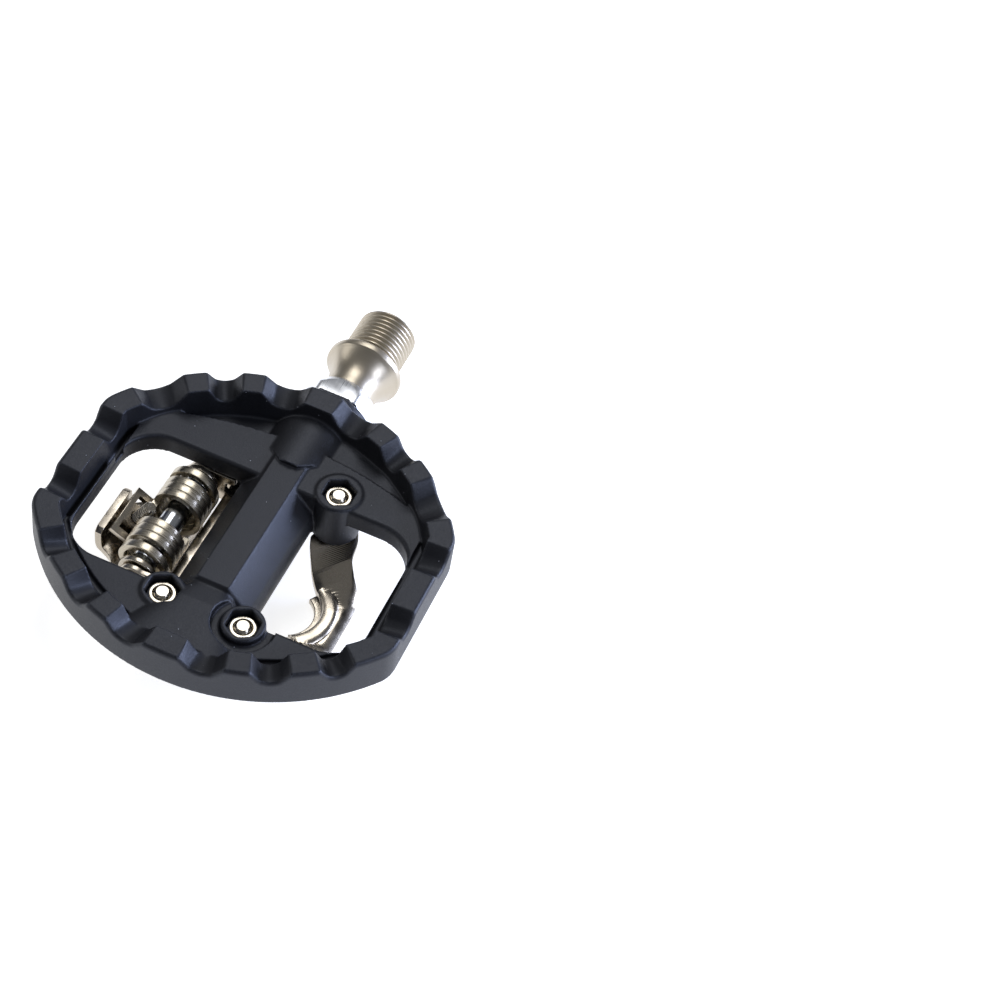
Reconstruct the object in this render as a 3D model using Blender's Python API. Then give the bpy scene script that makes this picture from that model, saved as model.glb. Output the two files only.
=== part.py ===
"""Clipless bicycle pedal for the left foot: platform cage above, cleat binding below.

Frame: the origin is on the spindle's axis, at the face that seats against the crank.
+X points outboard along the spindle, +Y forward and +Z up to the platform side.
Lengths below are in millimetres; MM turns them into the scene's metres.
"""
import math

import bmesh
import bpy
from mathutils import Matrix, Vector

MM = 0.001
GAP = 0.3                      # clearance between neighbouring pieces

# Driving dimensions
THREAD_R = 7.14                # 9/16 inch pedal thread
THREAD_LENGTH = 13.6
FLANGE_R = 9.25
NECK_R = 6.2
BODY_X = 62.0                  # middle of the cage, measured from the crank face
INBOARD_FACE = BODY_X - 43.5
TUBE_R = 9.35
TUBE_TOP = 9.6
TUBE_FLAT = 3.7                # half width of the flat on top of the tube
BORE_R = 7.2
BORE_END = BODY_X + 18.5
COLLAR_BORE_R = 8.7
COLLAR_BORE_DEPTH = 8.5

CAGE_HALF_LENGTH = 42.0        # along Y
INBOARD_ARC = (8.0, 47.5)      # centre's distance from BODY_X, and radius
OUTBOARD_ARC = (-10.3, 50.6)
CAGE_CORNER_R = 7.0
CAGE_BOTTOM = 4.0
GROOVE_FLOOR = 6.5
WEB_TOP = 9.0
TOOTH_TOP = 14.4
TOOTH_DEPTH = 2.9
RIM_WIDTH = 6.4

# Grip pads, as pairs of where each starts and ends. Side pads are y values on an arc,
# end pads x values on an end face; all are repeated front and rear.
INBOARD_PADS = ((-3.6, 3.8), (14.4, 19.1), (26.3, 30.5))
OUTBOARD_PADS = ((-4.0, 4.0), (13.5, 18.5), (26.0, 31.0))
INBOARD_CORNER_PAD = (38.7, -11.5)   # from this y on the arc to this x on the end face
OUTBOARD_CORNER_PAD = (36.5, 14.7)
END_PAD = (-3.4, 7.0)

WINDOW_INBOARD = -14.4         # from BODY_X
WINDOW_OUTBOARD = 21.2
WINDOW_END = 34.0
WINDOW_CORNER_R = 8.5

BOSS_FRONT_INBOARD = (-18.2, 13.0)   # from BODY_X, and y
BOSS_FRONT_OUTBOARD = (22.7, 10.3)
BOSS_REAR_OUTBOARD = (22.7, -8.4)
BOSS_REAR_INBOARD = (-21.8, -12.7)
BOSS_BOTTOM = -3.0
BOSS_TOP = 9.4
NUT_FLATS = 6.0
NUT_BOTTOM = 5.0
NUT_TOP = 7.9
BOLT_R = 1.75
BOLT_END = 8.5
PLATE = 2.0                    # steel plate thickness of catch and bracket
HEAD_R = 3.2
HEAD_HEIGHT = 3.2
KEY_FLATS = 2.5
FOOT_TOP = BOSS_BOTTOM - GAP
FOOT_BOTTOM = FOOT_TOP - PLATE

MECHANISM_X = BODY_X + 0.8
PIN_Y = -18.2
PIN_Z = 0.0
PIN_R = 2.0
SPRING_R = 6.0
SPRING_WIRE = (1.9, 1.4)       # along the axis, and radially
SPRING_LENGTH = 11.4
SPRING_TURNS = 4.4
SCREW_TILT = math.radians(30)
SCREW_R = 1.5
SCREW_TIP = (-22.6, 3.6)       # y, z
SCREW_LENGTH = 13.6            # under the head
SCREW_HEAD_R = 2.6
SCREW_HEAD = 2.1
FOLLOWER_AT = 7.3              # follower plate's middle, from the screw's tip
FOLLOWER_HALF_WIDTH = 6.5
FOLLOWER_HALF_THICKNESS = 0.7
FOLLOWER_DEPTH = (-1.9, 3.6)   # its reach towards the springs and towards the tail
CLAW_PLATE = 1.7               # rear catch's plate thickness
CLAW_EAR_R = 4.4
EAR_PLATE = 1.4
BRACKET_EAR_R = 3.7

SHAFT_R = NECK_R - 0.3         # where the bush runs
JOURNAL_R = 3.9                # where the outer bearing sits
BUSH_WALL_GAP = 0.15
BEARING_X = 68.0
BEARING_WIDTH = 5.0
BEARING_PITCH_R = 5.5
BALL_R = 0.95
BALLS = 8
SEAT_R = 7.3                   # inner edge of the shoulder face, clear of the thread

STEEL = ((0.62, 0.58, 0.52), 0.3, 1.0)
NICKEL = ((0.72, 0.69, 0.64), 0.2, 1.0)
ALUMINIUM = ((0.85, 0.86, 0.88), 0.25, 1.0)
BLACK = ((0.035, 0.036, 0.042), 0.5, 0.0)
RUBBER = ((0.015, 0.015, 0.016), 0.8, 0.0)
BRONZE = ((0.45, 0.3, 0.16), 0.4, 1.0)


def clear_scene():
    for thing in list(bpy.data.objects):
        bpy.data.objects.remove(thing, do_unlink=True)


def material(name, look):
    colour, roughness, metallic = look
    made = bpy.data.materials.new(name)
    made.use_nodes = True
    shader = made.node_tree.nodes["Principled BSDF"]
    shader.inputs["Base Color"].default_value = (*colour, 1.0)
    shader.inputs["Roughness"].default_value = roughness
    shader.inputs["Metallic"].default_value = metallic
    return made


def finish(name, bm, look=None, smooth_angle=32, pivot=(0, 0, 0)):
    """Turn a bmesh in millimetres into an object; with no look it is a guide for a Boolean."""
    bmesh.ops.remove_doubles(bm, verts=bm.verts, dist=1e-4)
    bmesh.ops.recalc_face_normals(bm, faces=bm.faces)
    origin = Vector(pivot)
    bmesh.ops.transform(bm, matrix=Matrix.Scale(MM, 4) @ Matrix.Translation(-origin), verts=bm.verts)
    mesh = bpy.data.meshes.new(name)
    bm.to_mesh(mesh)
    bm.free()
    thing = bpy.data.objects.new(name, mesh)
    thing.location = origin * MM
    bpy.context.scene.collection.objects.link(thing)
    if look is None:
        thing.hide_render = True
        thing.display_type = "WIRE"
        return thing
    mesh.materials.append(material(name, look))
    mesh.shade_smooth()
    mesh.set_sharp_from_angle(angle=math.radians(smooth_angle))
    return thing


def combine(target, other, operation):
    boolean = target.modifiers.new(operation.lower() + "_" + other.name, "BOOLEAN")
    boolean.operation = operation
    boolean.object = other
    boolean.solver = "EXACT"


def add(target, *others):
    for other in others:
        combine(target, other, "UNION")


def cut(target, *others):
    for other in others:
        combine(target, other, "DIFFERENCE")


def loft(rings, closed_path=False):
    """Skin a list of equally long point rings; an open path gets a face at each end."""
    bm = bmesh.new()
    rows = [[bm.verts.new(point) for point in ring] for ring in rings]
    pairs = list(zip(rows, rows[1:]))
    if closed_path:
        pairs.append((rows[-1], rows[0]))
    for low, high in pairs:
        for i in range(len(low)):
            j = (i + 1) % len(low)
            bm.faces.new((low[i], low[j], high[j], high[i]))
    if not closed_path:
        bm.faces.new(rows[0][::-1])
        bm.faces.new(rows[-1])
    bmesh.ops.triangulate(bm, faces=bm.faces)
    return bm


def turned(profile, steps=32, solid=True):
    """Revolve (x, radius) points about the X axis; a solid profile starts and ends on the axis."""
    bm = bmesh.new()
    corners = [bm.verts.new((x, 0, radius)) for x, radius in profile]
    chain = [bm.edges.new(pair) for pair in zip(corners, corners[1:])]
    if not solid:
        chain.append(bm.edges.new((corners[-1], corners[0])))
    bmesh.ops.spin(bm, geom=corners + chain, cent=(0, 0, 0), axis=(1, 0, 0),
                   angle=math.tau, steps=steps, use_merge=True)
    return bm


def prism(outline, low, high, axis="Z"):
    """Extrude an outline: (x, y) points along Z, or (y, z) points along X."""
    bm = bmesh.new()
    if axis == "Z":
        points = [(a, b, low) for a, b in outline]
        travel = Vector((0, 0, high - low))
    else:
        points = [(low, a, b) for a, b in outline]
        travel = Vector((high - low, 0, 0))
    face = bm.faces.new([bm.verts.new(point) for point in points])
    grown = bmesh.ops.extrude_face_region(bm, geom=[face])
    lifted = [item for item in grown["geom"] if isinstance(item, bmesh.types.BMVert)]
    bmesh.ops.translate(bm, verts=lifted, vec=travel)
    return bm


def circle(centre, radius, count=24, start=0.0):
    steps = [start + math.tau * i / count for i in range(count)]
    return [(centre[0] + radius * math.cos(a), centre[1] + radius * math.sin(a)) for a in steps]


def hexagon(centre, flats):
    return circle(centre, flats / 2 / math.cos(math.pi / 6), 6)


def arc(centre, radius, start, end, count):
    """Points from one angle to another, in degrees, both ends included."""
    angles = [math.radians(start + (end - start) * i / (count - 1)) for i in range(count)]
    return [(centre[0] + radius * math.cos(a), centre[1] + radius * math.sin(a)) for a in angles]


def rod(name, start, direction, radius, length, count=24):
    """A cylinder guide along any direction, its start face at start."""
    bm = bmesh.new()
    bmesh.ops.create_cone(bm, cap_ends=True, segments=count, radius1=radius, radius2=radius, depth=length)
    turn = Vector(direction).to_track_quat("Z", "Y").to_matrix().to_4x4()
    place = Matrix.Translation(Vector(start)) @ turn @ Matrix.Translation((0, 0, length / 2))
    bmesh.ops.transform(bm, matrix=place, verts=bm.verts)
    return finish(name, bm)


# ---------------------------------------------------------------- cage outline

def cage_corner(arc_centre, arc_radius, side, inset):
    """Centre of the round between an end face and a side arc, and the angle where the arc starts."""
    radius = CAGE_CORNER_R - inset
    across = CAGE_HALF_LENGTH - CAGE_CORNER_R
    reach = arc_radius - CAGE_CORNER_R
    centre_x = arc_centre + side * math.sqrt(reach ** 2 - across ** 2)
    return centre_x, across, radius, math.degrees(math.atan2(across, abs(centre_x - arc_centre)))


def cage_quarter(side, inset, count):
    """From the end face (+Y) round one corner to the middle of a side arc, as (u, y, run) points."""
    arc_centre, arc_radius = OUTBOARD_ARC if side > 0 else INBOARD_ARC
    corner_x, corner_y, corner_r, meet = cage_corner(arc_centre, arc_radius, side, inset)
    corner = arc((0, corner_y), corner_r, 90, meet, 5)
    sweep = arc((0, 0), arc_radius - inset, meet, 0, count)[1:]
    return ([(corner_x + side * x, y) for x, y in corner]
            + [(arc_centre + side * x, y) for x, y in sweep])


def cage_outline(inset, count=20):
    """The cage's closed outline seen from above, anticlockwise, about (BODY_X, 0)."""
    right = cage_quarter(1, inset, count)
    left = cage_quarter(-1, inset, count)
    front = right[::-1] + left
    back = [(x, -y) for x, y in front[::-1]][1:-1]
    return [(BODY_X + x, y) for x, y in front + back]


def rim_station(u, y):
    """Outline point moved onto the cage, with its inward normal."""
    corner_in = cage_corner(*INBOARD_ARC, -1, 0)
    corner_out = cage_corner(*OUTBOARD_ARC, 1, 0)
    ahead = 1 if y >= 0 else -1
    if corner_in[0] <= u <= corner_out[0] and abs(y) > CAGE_HALF_LENGTH - CAGE_CORNER_R:
        return Vector((u, ahead * CAGE_HALF_LENGTH)), Vector((0, -ahead))
    corner_x, corner_y, _, meet = corner_out if u > 0 else corner_in
    arc_centre, arc_radius = OUTBOARD_ARC if u > 0 else INBOARD_ARC
    angle = math.degrees(math.atan2(abs(y), abs(u - arc_centre)))
    if angle > meet:
        centre = Vector((corner_x, ahead * corner_y))
        outward = (Vector((u, y)) - centre).normalized()
        return centre + CAGE_CORNER_R * outward, -outward
    centre = Vector((arc_centre, 0))
    outward = (Vector((u, y)) - centre).normalized()
    return centre + arc_radius * outward, -outward


def side_run(side, y_start, y_end, steps):
    """Stations along a side arc between two y values, first one included."""
    arc_centre, arc_radius = OUTBOARD_ARC if side > 0 else INBOARD_ARC
    start = math.asin(y_start / arc_radius)
    end = math.asin(y_end / arc_radius)
    angles = [start + (end - start) * i / steps for i in range(steps)]
    return [(arc_centre + side * arc_radius * math.cos(a), arc_radius * math.sin(a)) for a in angles]


def corner_run(side, y_start, u_end, steps):
    """Stations from a side arc round the corner to the front end face."""
    corner = cage_corner(*(OUTBOARD_ARC if side > 0 else INBOARD_ARC), side, 0)
    centre = (corner[0], corner[1])
    bend = arc((0, 0), CAGE_CORNER_R, corner[3], 90, 4)
    points = side_run(side, y_start, CAGE_CORNER_R * math.sin(math.radians(corner[3])) + centre[1], 2)
    points += [(centre[0] + side * x, centre[1] + y) for x, y in bend]
    last_u = points[-1][0]
    points += [(last_u + (u_end - last_u) * i / steps, CAGE_HALF_LENGTH) for i in range(1, steps)]
    return points


def front_stations():
    """(u, y, height) round the front half, from the outboard middle to the inboard middle."""
    valley_shape = (0.0, 0.75, 1.0, 1.0, 0.7)

    def pad(points):
        return [(u, y, TOOTH_TOP) for u, y in points]

    def valley(points):
        return [(u, y, TOOTH_TOP - TOOTH_DEPTH * drop) for (u, y), drop in zip(points, valley_shape)]

    def end_points(u_start, u_end, steps):
        return [(u_start + (u_end - u_start) * i / steps, CAGE_HALF_LENGTH) for i in range(steps)]

    def half_side(side, pads, corner_pad):
        middle, second, third = pads
        run = pad(side_run(side, 0.0, middle[1], 2))
        run += valley(side_run(side, middle[1], second[0], 5))
        run += pad(side_run(side, second[0], second[1], 2))
        run += valley(side_run(side, second[1], third[0], 5))
        run += pad(side_run(side, third[0], third[1], 2))
        run += valley(side_run(side, third[1], corner_pad[0], 5))
        return run + pad(corner_run(side, corner_pad[0], corner_pad[1], 2))

    out = half_side(1, OUTBOARD_PADS, OUTBOARD_CORNER_PAD)
    out += valley(end_points(OUTBOARD_CORNER_PAD[1], END_PAD[1], 5))
    out += pad(end_points(END_PAD[1], END_PAD[0], 2))
    out += valley(end_points(END_PAD[0], INBOARD_CORNER_PAD[1], 5))
    out += [(INBOARD_CORNER_PAD[1], CAGE_HALF_LENGTH, TOOTH_TOP)]
    inboard = half_side(-1, INBOARD_PADS, INBOARD_CORNER_PAD)
    return out + inboard[::-1]


def cage_rim():
    """The toothed rim: one cross-section carried round every station of the outline."""
    front = front_stations()
    stations = front + [(u, -y, height) for u, y, height in front[-2:0:-1]]
    rings = []
    for u, y, height in stations:
        point, inward = rim_station(u, y)
        section = ((0.7, CAGE_BOTTOM), (0.0, CAGE_BOTTOM + 0.8), (0.0, height - 1.5), (1.1, height),
                   (5.3, height - 0.4), (RIM_WIDTH, GROOVE_FLOOR + 0.6), (RIM_WIDTH, CAGE_BOTTOM))
        ring = []
        for inset, z in section:
            place = point + inset * inward
            ring.append((BODY_X + place.x, place.y, z))
        rings.append(ring)
    return loft(rings, closed_path=True)


def plateau_outline():
    """The raised web round the windows, set back from the rim to leave a groove."""
    inset = RIM_WIDTH + 1.2
    back_arc = (62.0, 88.7)     # its inboard edge is flatter than the rim, so the groove widens
    edge = [(x, y) for x, y in cage_outline(inset) if x - BODY_X > -12.0]
    edge.sort(key=lambda point: math.atan2(point[1], point[0] - BODY_X))
    side = [(BODY_X + back_arc[0] - back_arc[1] * math.cos(a), back_arc[1] * math.sin(a))
            for a in [math.radians(22.5 - 3.75 * i) for i in range(13)]]
    return edge + side


def window_outline(ahead):
    """One cage window from above; ahead is +1 for the front one and -1 for the rear one."""
    near = 6.0                  # inside the tube, which closes this side
    centre_y = WINDOW_END - WINDOW_CORNER_R
    outboard = arc((WINDOW_OUTBOARD - WINDOW_CORNER_R, centre_y), WINDOW_CORNER_R, 0, 90, 7)
    inboard = arc((WINDOW_INBOARD + WINDOW_CORNER_R, centre_y), WINDOW_CORNER_R, 90, 180, 7)
    points = [(WINDOW_OUTBOARD, near)] + outboard + inboard + [(WINDOW_INBOARD, near)]
    return [(BODY_X + u, ahead * y) for u, y in points]


def tube_ring(x, radius, flat_scale=1.0, back=0.0):
    """Section of the axle tube: round below, with a flat between two creases on top.

    back is how far a point is drawn inboard for each millimetre it lies off the middle.
    """
    top = TUBE_TOP / TUBE_R * radius
    flat = TUBE_FLAT * flat_scale
    shoulder = math.degrees(math.asin(0.42))
    below = arc((0, 0), radius, shoulder, -180 - shoulder, 19)
    points = [(flat, top)] + below + [(-flat, top)]
    return [(x - back * abs(y), y, z) for y, z in points]


def axle_tube():
    stops = ((INBOARD_FACE, TUBE_R), (BODY_X + 16.5, TUBE_R), (BODY_X + 19.2, 5.0),
             (BODY_X + 27.0, 4.6), (BODY_X + 29.5, 3.6), (BODY_X + 31.0, 1.6))
    return loft([tube_ring(x, radius) for x, radius in stops])


def collar_boss():
    """The larger boss at the crank end; its step on the tube is a shallow chevron."""
    radius = TUBE_R + 1.2
    step = BODY_X - 19.3
    slope = 0.75
    rings = [tube_ring(INBOARD_FACE + 0.6, radius - 0.6), tube_ring(INBOARD_FACE + 1.2, radius, 1.1),
             tube_ring(step, radius, 1.1, slope)]
    inner = [(x - 1.0, 0.5 * y, 0.5 * z) for x, y, z in rings[-1]]
    return loft(rings + [inner])


def outboard_boss():
    """The tube's top flares into the outboard side of the cage."""
    stops = ((16.4, 5.2, 8.8), (22.2, 9.1, 9.9), (28.2, 12.1, 10.3), (34.6, 15.4, 10.5))
    low = CAGE_BOTTOM - 1.37
    rings = []
    for u, half_width, top in stops:
        angles = [math.pi * i / 11 for i in range(12)]
        bend = [(half_width * math.copysign(abs(math.cos(a)) ** 0.55, math.cos(a)),
                 low + (top - low) * abs(math.sin(a)) ** 0.6) for a in angles]
        rings.append([(BODY_X + u, y, z) for y, z in bend])
    return loft(rings)


def boss_centre(boss):
    return (BODY_X + boss[0], boss[1])


def pedal_body():
    body = finish("pedal_body", cage_rim(), BLACK, smooth_angle=28)
    floor = finish("guide_floor", prism(cage_outline(RIM_WIDTH - 0.5), CAGE_BOTTOM + 0.3, GROOVE_FLOOR))
    plateau = finish("guide_plateau", prism(plateau_outline(), CAGE_BOTTOM + 0.1, WEB_TOP))
    add(body, floor, plateau)
    for ahead, label in ((1, "front"), (-1, "rear")):
        cut(body, finish("guide_window_" + label, prism(window_outline(ahead), -1, 20)))
    add(body, finish("guide_tube", axle_tube()), finish("guide_collar_boss", collar_boss()),
        finish("guide_outboard_boss", outboard_boss()))
    recess = prism(circle(boss_centre(BOSS_FRONT_OUTBOARD), 6.9), GROOVE_FLOOR + 1.3, 20)
    cut(body, finish("guide_boss_recess", recess))
    columns = (("fi", BOSS_FRONT_INBOARD, 5.4, BOSS_TOP), ("fo", BOSS_FRONT_OUTBOARD, 4.8, BOSS_TOP),
               ("ro", BOSS_REAR_OUTBOARD, 4.8, BOSS_TOP), ("ri", BOSS_REAR_INBOARD, 4.0, WEB_TOP - 0.7))
    for label, boss, radius, top in columns:
        column = prism(circle(boss_centre(boss), radius, 28), BOSS_BOTTOM, top)
        add(body, finish("guide_column_" + label, column))
    bore = turned(((INBOARD_FACE - 1, 0), (INBOARD_FACE - 1, COLLAR_BORE_R),
                   (INBOARD_FACE + COLLAR_BORE_DEPTH, COLLAR_BORE_R),
                   (INBOARD_FACE + COLLAR_BORE_DEPTH, BORE_R), (BORE_END - 1.5, BORE_R),
                   (BORE_END, BORE_R - 2.5), (BORE_END, 0)), steps=36)
    cut(body, finish("guide_bore", bore))
    for label, boss, _, _ in columns[:3]:
        pocket = prism(hexagon(boss_centre(boss), NUT_FLATS + 0.8), NUT_BOTTOM - GAP, 20)
        cut(body, finish("guide_nut_pocket_" + label, pocket))
    for label, boss, _, _ in columns:
        top = 12 if label != "ri" else WEB_TOP - 4
        hole = prism(circle(boss_centre(boss), BOLT_R + GAP, 20), BOSS_BOTTOM - 1, top)
        cut(body, finish("guide_bolt_hole_" + label, hole))
    return body


# ---------------------------------------------------------------- spindle and its bearings

def spindle():
    tip = -THREAD_LENGTH
    bell = [(2.7 + 6.3 * i / 7, NECK_R + 2.2 * (1 - i / 7) ** 2.2) for i in range(8)]
    chamfer = 1.1
    undercut = 0.5
    profile = ([(tip, 0), (tip, THREAD_R - chamfer), (tip + chamfer, THREAD_R), (-1.3, THREAD_R),
                (-1.0, NECK_R), (undercut, NECK_R), (undercut, SEAT_R), (0, SEAT_R),
                (0, FLANGE_R - 0.4), (0.4, FLANGE_R), (1.9, FLANGE_R), (2.4, FLANGE_R - 0.5)]
               + bell
               + [(28.0, NECK_R), (28.3, SHAFT_R), (42.0, SHAFT_R), (46.0, 4.7), (65.2, 4.7),
                  (65.2, JOURNAL_R), (78.2, JOURNAL_R), (79.0, JOURNAL_R - 0.8), (79.0, 0)])
    shaft = finish("spindle", turned(profile, 32), STEEL)
    socket_flats, socket_depth = 6.0, 8.0
    socket = prism(hexagon((0, 0), socket_flats), tip - 1, tip + socket_depth, axis="X")
    cut(shaft, finish("guide_spindle_socket", socket))
    return shaft


def axle_collar():
    """Hexagonal lock collar: its sleeve screws into the body and holds the bearings in."""
    face = INBOARD_FACE - GAP
    height = 6.6
    across_flats = 17.0
    bore = NECK_R + 0.35
    sleeve_end = face + COLLAR_BORE_DEPTH - 0.4
    dome = ((face - height, 7.3), (face - 6.2, 7.9), (face - 4.4, 8.9), (face - 3.0, 9.6), (face, 9.6))
    shell = ([(face - height, bore)] + list(dome)
             + [(face, COLLAR_BORE_R - GAP), (sleeve_end, COLLAR_BORE_R - GAP), (sleeve_end, bore)])
    collar = finish("axle_collar", turned(shell, 48, solid=False), ALUMINIUM)
    flats = prism(hexagon((0, 0), across_flats), face - 8, face + 20, axis="X")
    combine(collar, finish("guide_collar_flats", flats), "INTERSECT")
    return collar


def ring(name, x_low, x_high, inner, outer, look, steps=32):
    profile = ((x_low, inner), (x_low, outer), (x_high, outer), (x_high, inner))
    return finish(name, turned(profile, steps, solid=False), look)


def race(name, side, far_r, lip, groove_r):
    """A bearing ring with its ball groove; side is +1 for the outer ring and -1 for the inner one."""
    near_r = BEARING_PITCH_R + side * lip
    reach = math.acos(lip / groove_r)
    groove = [(BEARING_X + groove_r * math.sin(a), BEARING_PITCH_R + side * groove_r * math.cos(a))
              for a in [reach * (1 - i / 3) for i in range(7)]]
    low, high = BEARING_X - BEARING_WIDTH / 2, BEARING_X + BEARING_WIDTH / 2
    profile = [(low, near_r), (low, far_r), (high, far_r), (high, near_r)] + groove
    return finish(name, turned(profile, 32, solid=False), STEEL)


def bearing():
    """Ball bearing at the outer end: two grooved rings, and the balls joined by their cage."""
    groove_r = BALL_R + 0.12
    lip = 0.6                   # from the pitch circle to each ring's edge
    cage_half_width, cage_half_wall = 1.4, 0.25
    race("bearing_outer", 1, BORE_R - BUSH_WALL_GAP, lip, groove_r)
    race("bearing_inner", -1, JOURNAL_R + 0.15, lip, groove_r)
    cage = ring("bearing_balls", BEARING_X - cage_half_width, BEARING_X + cage_half_width,
                BEARING_PITCH_R - cage_half_wall, BEARING_PITCH_R + cage_half_wall, NICKEL, 24)
    for i in range(BALLS):
        angle = math.tau * i / BALLS
        bm = bmesh.new()
        bmesh.ops.create_uvsphere(bm, u_segments=8, v_segments=6, radius=BALL_R)
        place = (BEARING_X, BEARING_PITCH_R * math.cos(angle), BEARING_PITCH_R * math.sin(angle))
        bmesh.ops.translate(bm, verts=bm.verts, vec=place)
        add(cage, finish("guide_ball_%d" % i, bm))


def bearings():
    running_gap = 0.1
    washer_at, nut_at = (70.8, 71.6), (71.9, 76.4)
    nut_bore = JOURNAL_R + 0.2
    ring("collar_seal", 27.3, 28.0, NECK_R + 0.2, BORE_R - 0.2, RUBBER)
    ring("inboard_bush", 28.5, 41.5, SHAFT_R + running_gap, BORE_R - BUSH_WALL_GAP, BRONZE)
    bearing()
    ring("spindle_washer", *washer_at, nut_bore, 6.2, STEEL, 24)
    nut = finish("spindle_nut", prism(hexagon((0, 0), 11.0), *nut_at, axis="X"), STEEL)
    cut(nut, finish("guide_spindle_nut_bore",
                    turned(((60, 0), (60, nut_bore), (90, nut_bore), (90, 0)), 24)))


# ---------------------------------------------------------------- fasteners

def binding_bolt(name, boss, end):
    """Socket head bolt entering from the clip side."""
    x, y = boss_centre(boss)
    head_top = FOOT_BOTTOM - 0.15
    head_low = head_top - HEAD_HEIGHT
    profile = ((head_low, 0), (head_low, HEAD_R - 0.4), (head_low + 0.5, HEAD_R), (head_top, HEAD_R),
               (head_top, BOLT_R), (end - 0.5, BOLT_R), (end, BOLT_R - 0.45), (end, 0))
    bm = turned(profile, 24)
    upright = Matrix.Translation((x, y, 0)) @ Matrix.Rotation(-math.pi / 2, 4, "Y")
    bmesh.ops.transform(bm, matrix=upright, verts=bm.verts)
    bolt = finish(name, bm, NICKEL, pivot=(x, y, 0))
    cut(bolt, finish("guide_key_" + name, prism(hexagon((x, y), KEY_FLATS), -20, head_low + 1.8)))


def binding_nut(name, boss):
    centre = boss_centre(boss)
    nut = finish(name, prism(hexagon(centre, NUT_FLATS), NUT_BOTTOM, NUT_TOP), NICKEL)
    cone = turned(((0, 0), (0, 3.25), (2.4, 3.25), (2.9, 2.8), (2.9, 0)), 24)
    upright = Matrix.Translation((*centre, NUT_BOTTOM)) @ Matrix.Rotation(-math.pi / 2, 4, "Y")
    bmesh.ops.transform(cone, matrix=upright, verts=cone.verts)
    combine(nut, finish("guide_chamfer_" + name, cone), "INTERSECT")
    cut(nut, finish("guide_bore_" + name, prism(circle(centre, BOLT_R + 0.15, 20), 0, 20)))


def fasteners():
    places = (("front_inboard", BOSS_FRONT_INBOARD, BOLT_END),
              ("front_outboard", BOSS_FRONT_OUTBOARD, BOLT_END),
              ("rear_outboard", BOSS_REAR_OUTBOARD, BOLT_END),
              ("rear_inboard", BOSS_REAR_INBOARD, WEB_TOP - 5))
    for label, boss, end in places:
        binding_bolt("bolt_" + label, boss, end)
    for label, boss, _ in places[:3]:
        binding_nut("nut_" + label, boss)


# ---------------------------------------------------------------- cleat binding

def plate_from_rows(rows, thickness):
    """A bent plate: each row is (left, right) edge points; the underside is thickness below."""
    rings = []
    for left, right, normal in rows:
        left, right, normal = Vector(left), Vector(right), Vector(normal).normalized()
        middle = (left + right) / 2
        top = [left, middle, right]
        low = [point - normal * thickness for point in reversed(top)]
        rings.append([tuple(point) for point in top + low])
    return loft(rings)


def front_catch():
    """Bent steel claw: two feet under the front bosses and a U that steps down to the hook."""
    inner_centre = Vector((BODY_X + 2.2, 11.4))
    hook_top = -9.4
    rows = []
    steps = 24
    for i in range(steps + 1):
        angle = math.radians(184 - 188 * i / steps)
        out = Vector((math.cos(angle), math.sin(angle)))
        ease = max(0.0, min(1.0, (out.y - 0.42) / 0.5))
        ease = ease * ease * (3 - 2 * ease)
        z = FOOT_TOP + (hook_top - FOOT_TOP) * ease
        inner = inner_centre + out * (7.6 + 5.0 * (1 - ease))
        outer = inner_centre + Vector((out.x * (17.5 + 3.4 * (1 - ease)), out.y * 12.8))
        rows.append(((*outer, z), (*inner, z), (0, 0, 1)))
    claw = finish("front_catch", plate_from_rows(rows, PLATE), NICKEL, smooth_angle=40)
    for label, boss in (("fi", BOSS_FRONT_INBOARD), ("fo", BOSS_FRONT_OUTBOARD)):
        foot = prism(circle(boss_centre(boss), 4.2, 28), FOOT_BOTTOM, FOOT_TOP)
        add(claw, finish("guide_foot_" + label, foot))
    lip_outline = arc(inner_centre, 11.0, 150, 30, 13) + arc(inner_centre, 6.2, 30, 150, 13)
    lip = prism(lip_outline, hook_top - PLATE - 1.4, hook_top - PLATE + 0.4)
    add(claw, finish("guide_hook_lip", lip))
    for label, boss in (("fi", BOSS_FRONT_INBOARD), ("fo", BOSS_FRONT_OUTBOARD)):
        hole = prism(circle(boss_centre(boss), BOLT_R + GAP, 20), -14, 0)
        cut(claw, finish("guide_foot_hole_" + label, hole))


def ear_outline(radius, leg):
    """Side view of an ear round the pivot pin; leg lists the (y, z) points below it."""
    return arc((PIN_Y, PIN_Z), radius, 0, 180, 13) + list(leg)


def pivot_hole(name, radius):
    profile = ((BODY_X - 30, 0), (BODY_X - 30, radius), (BODY_X + 30, radius), (BODY_X + 30, 0))
    bm = turned(profile, 28)
    bmesh.ops.translate(bm, verts=bm.verts, vec=(0, PIN_Y, PIN_Z))
    return finish(name, bm)


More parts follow.
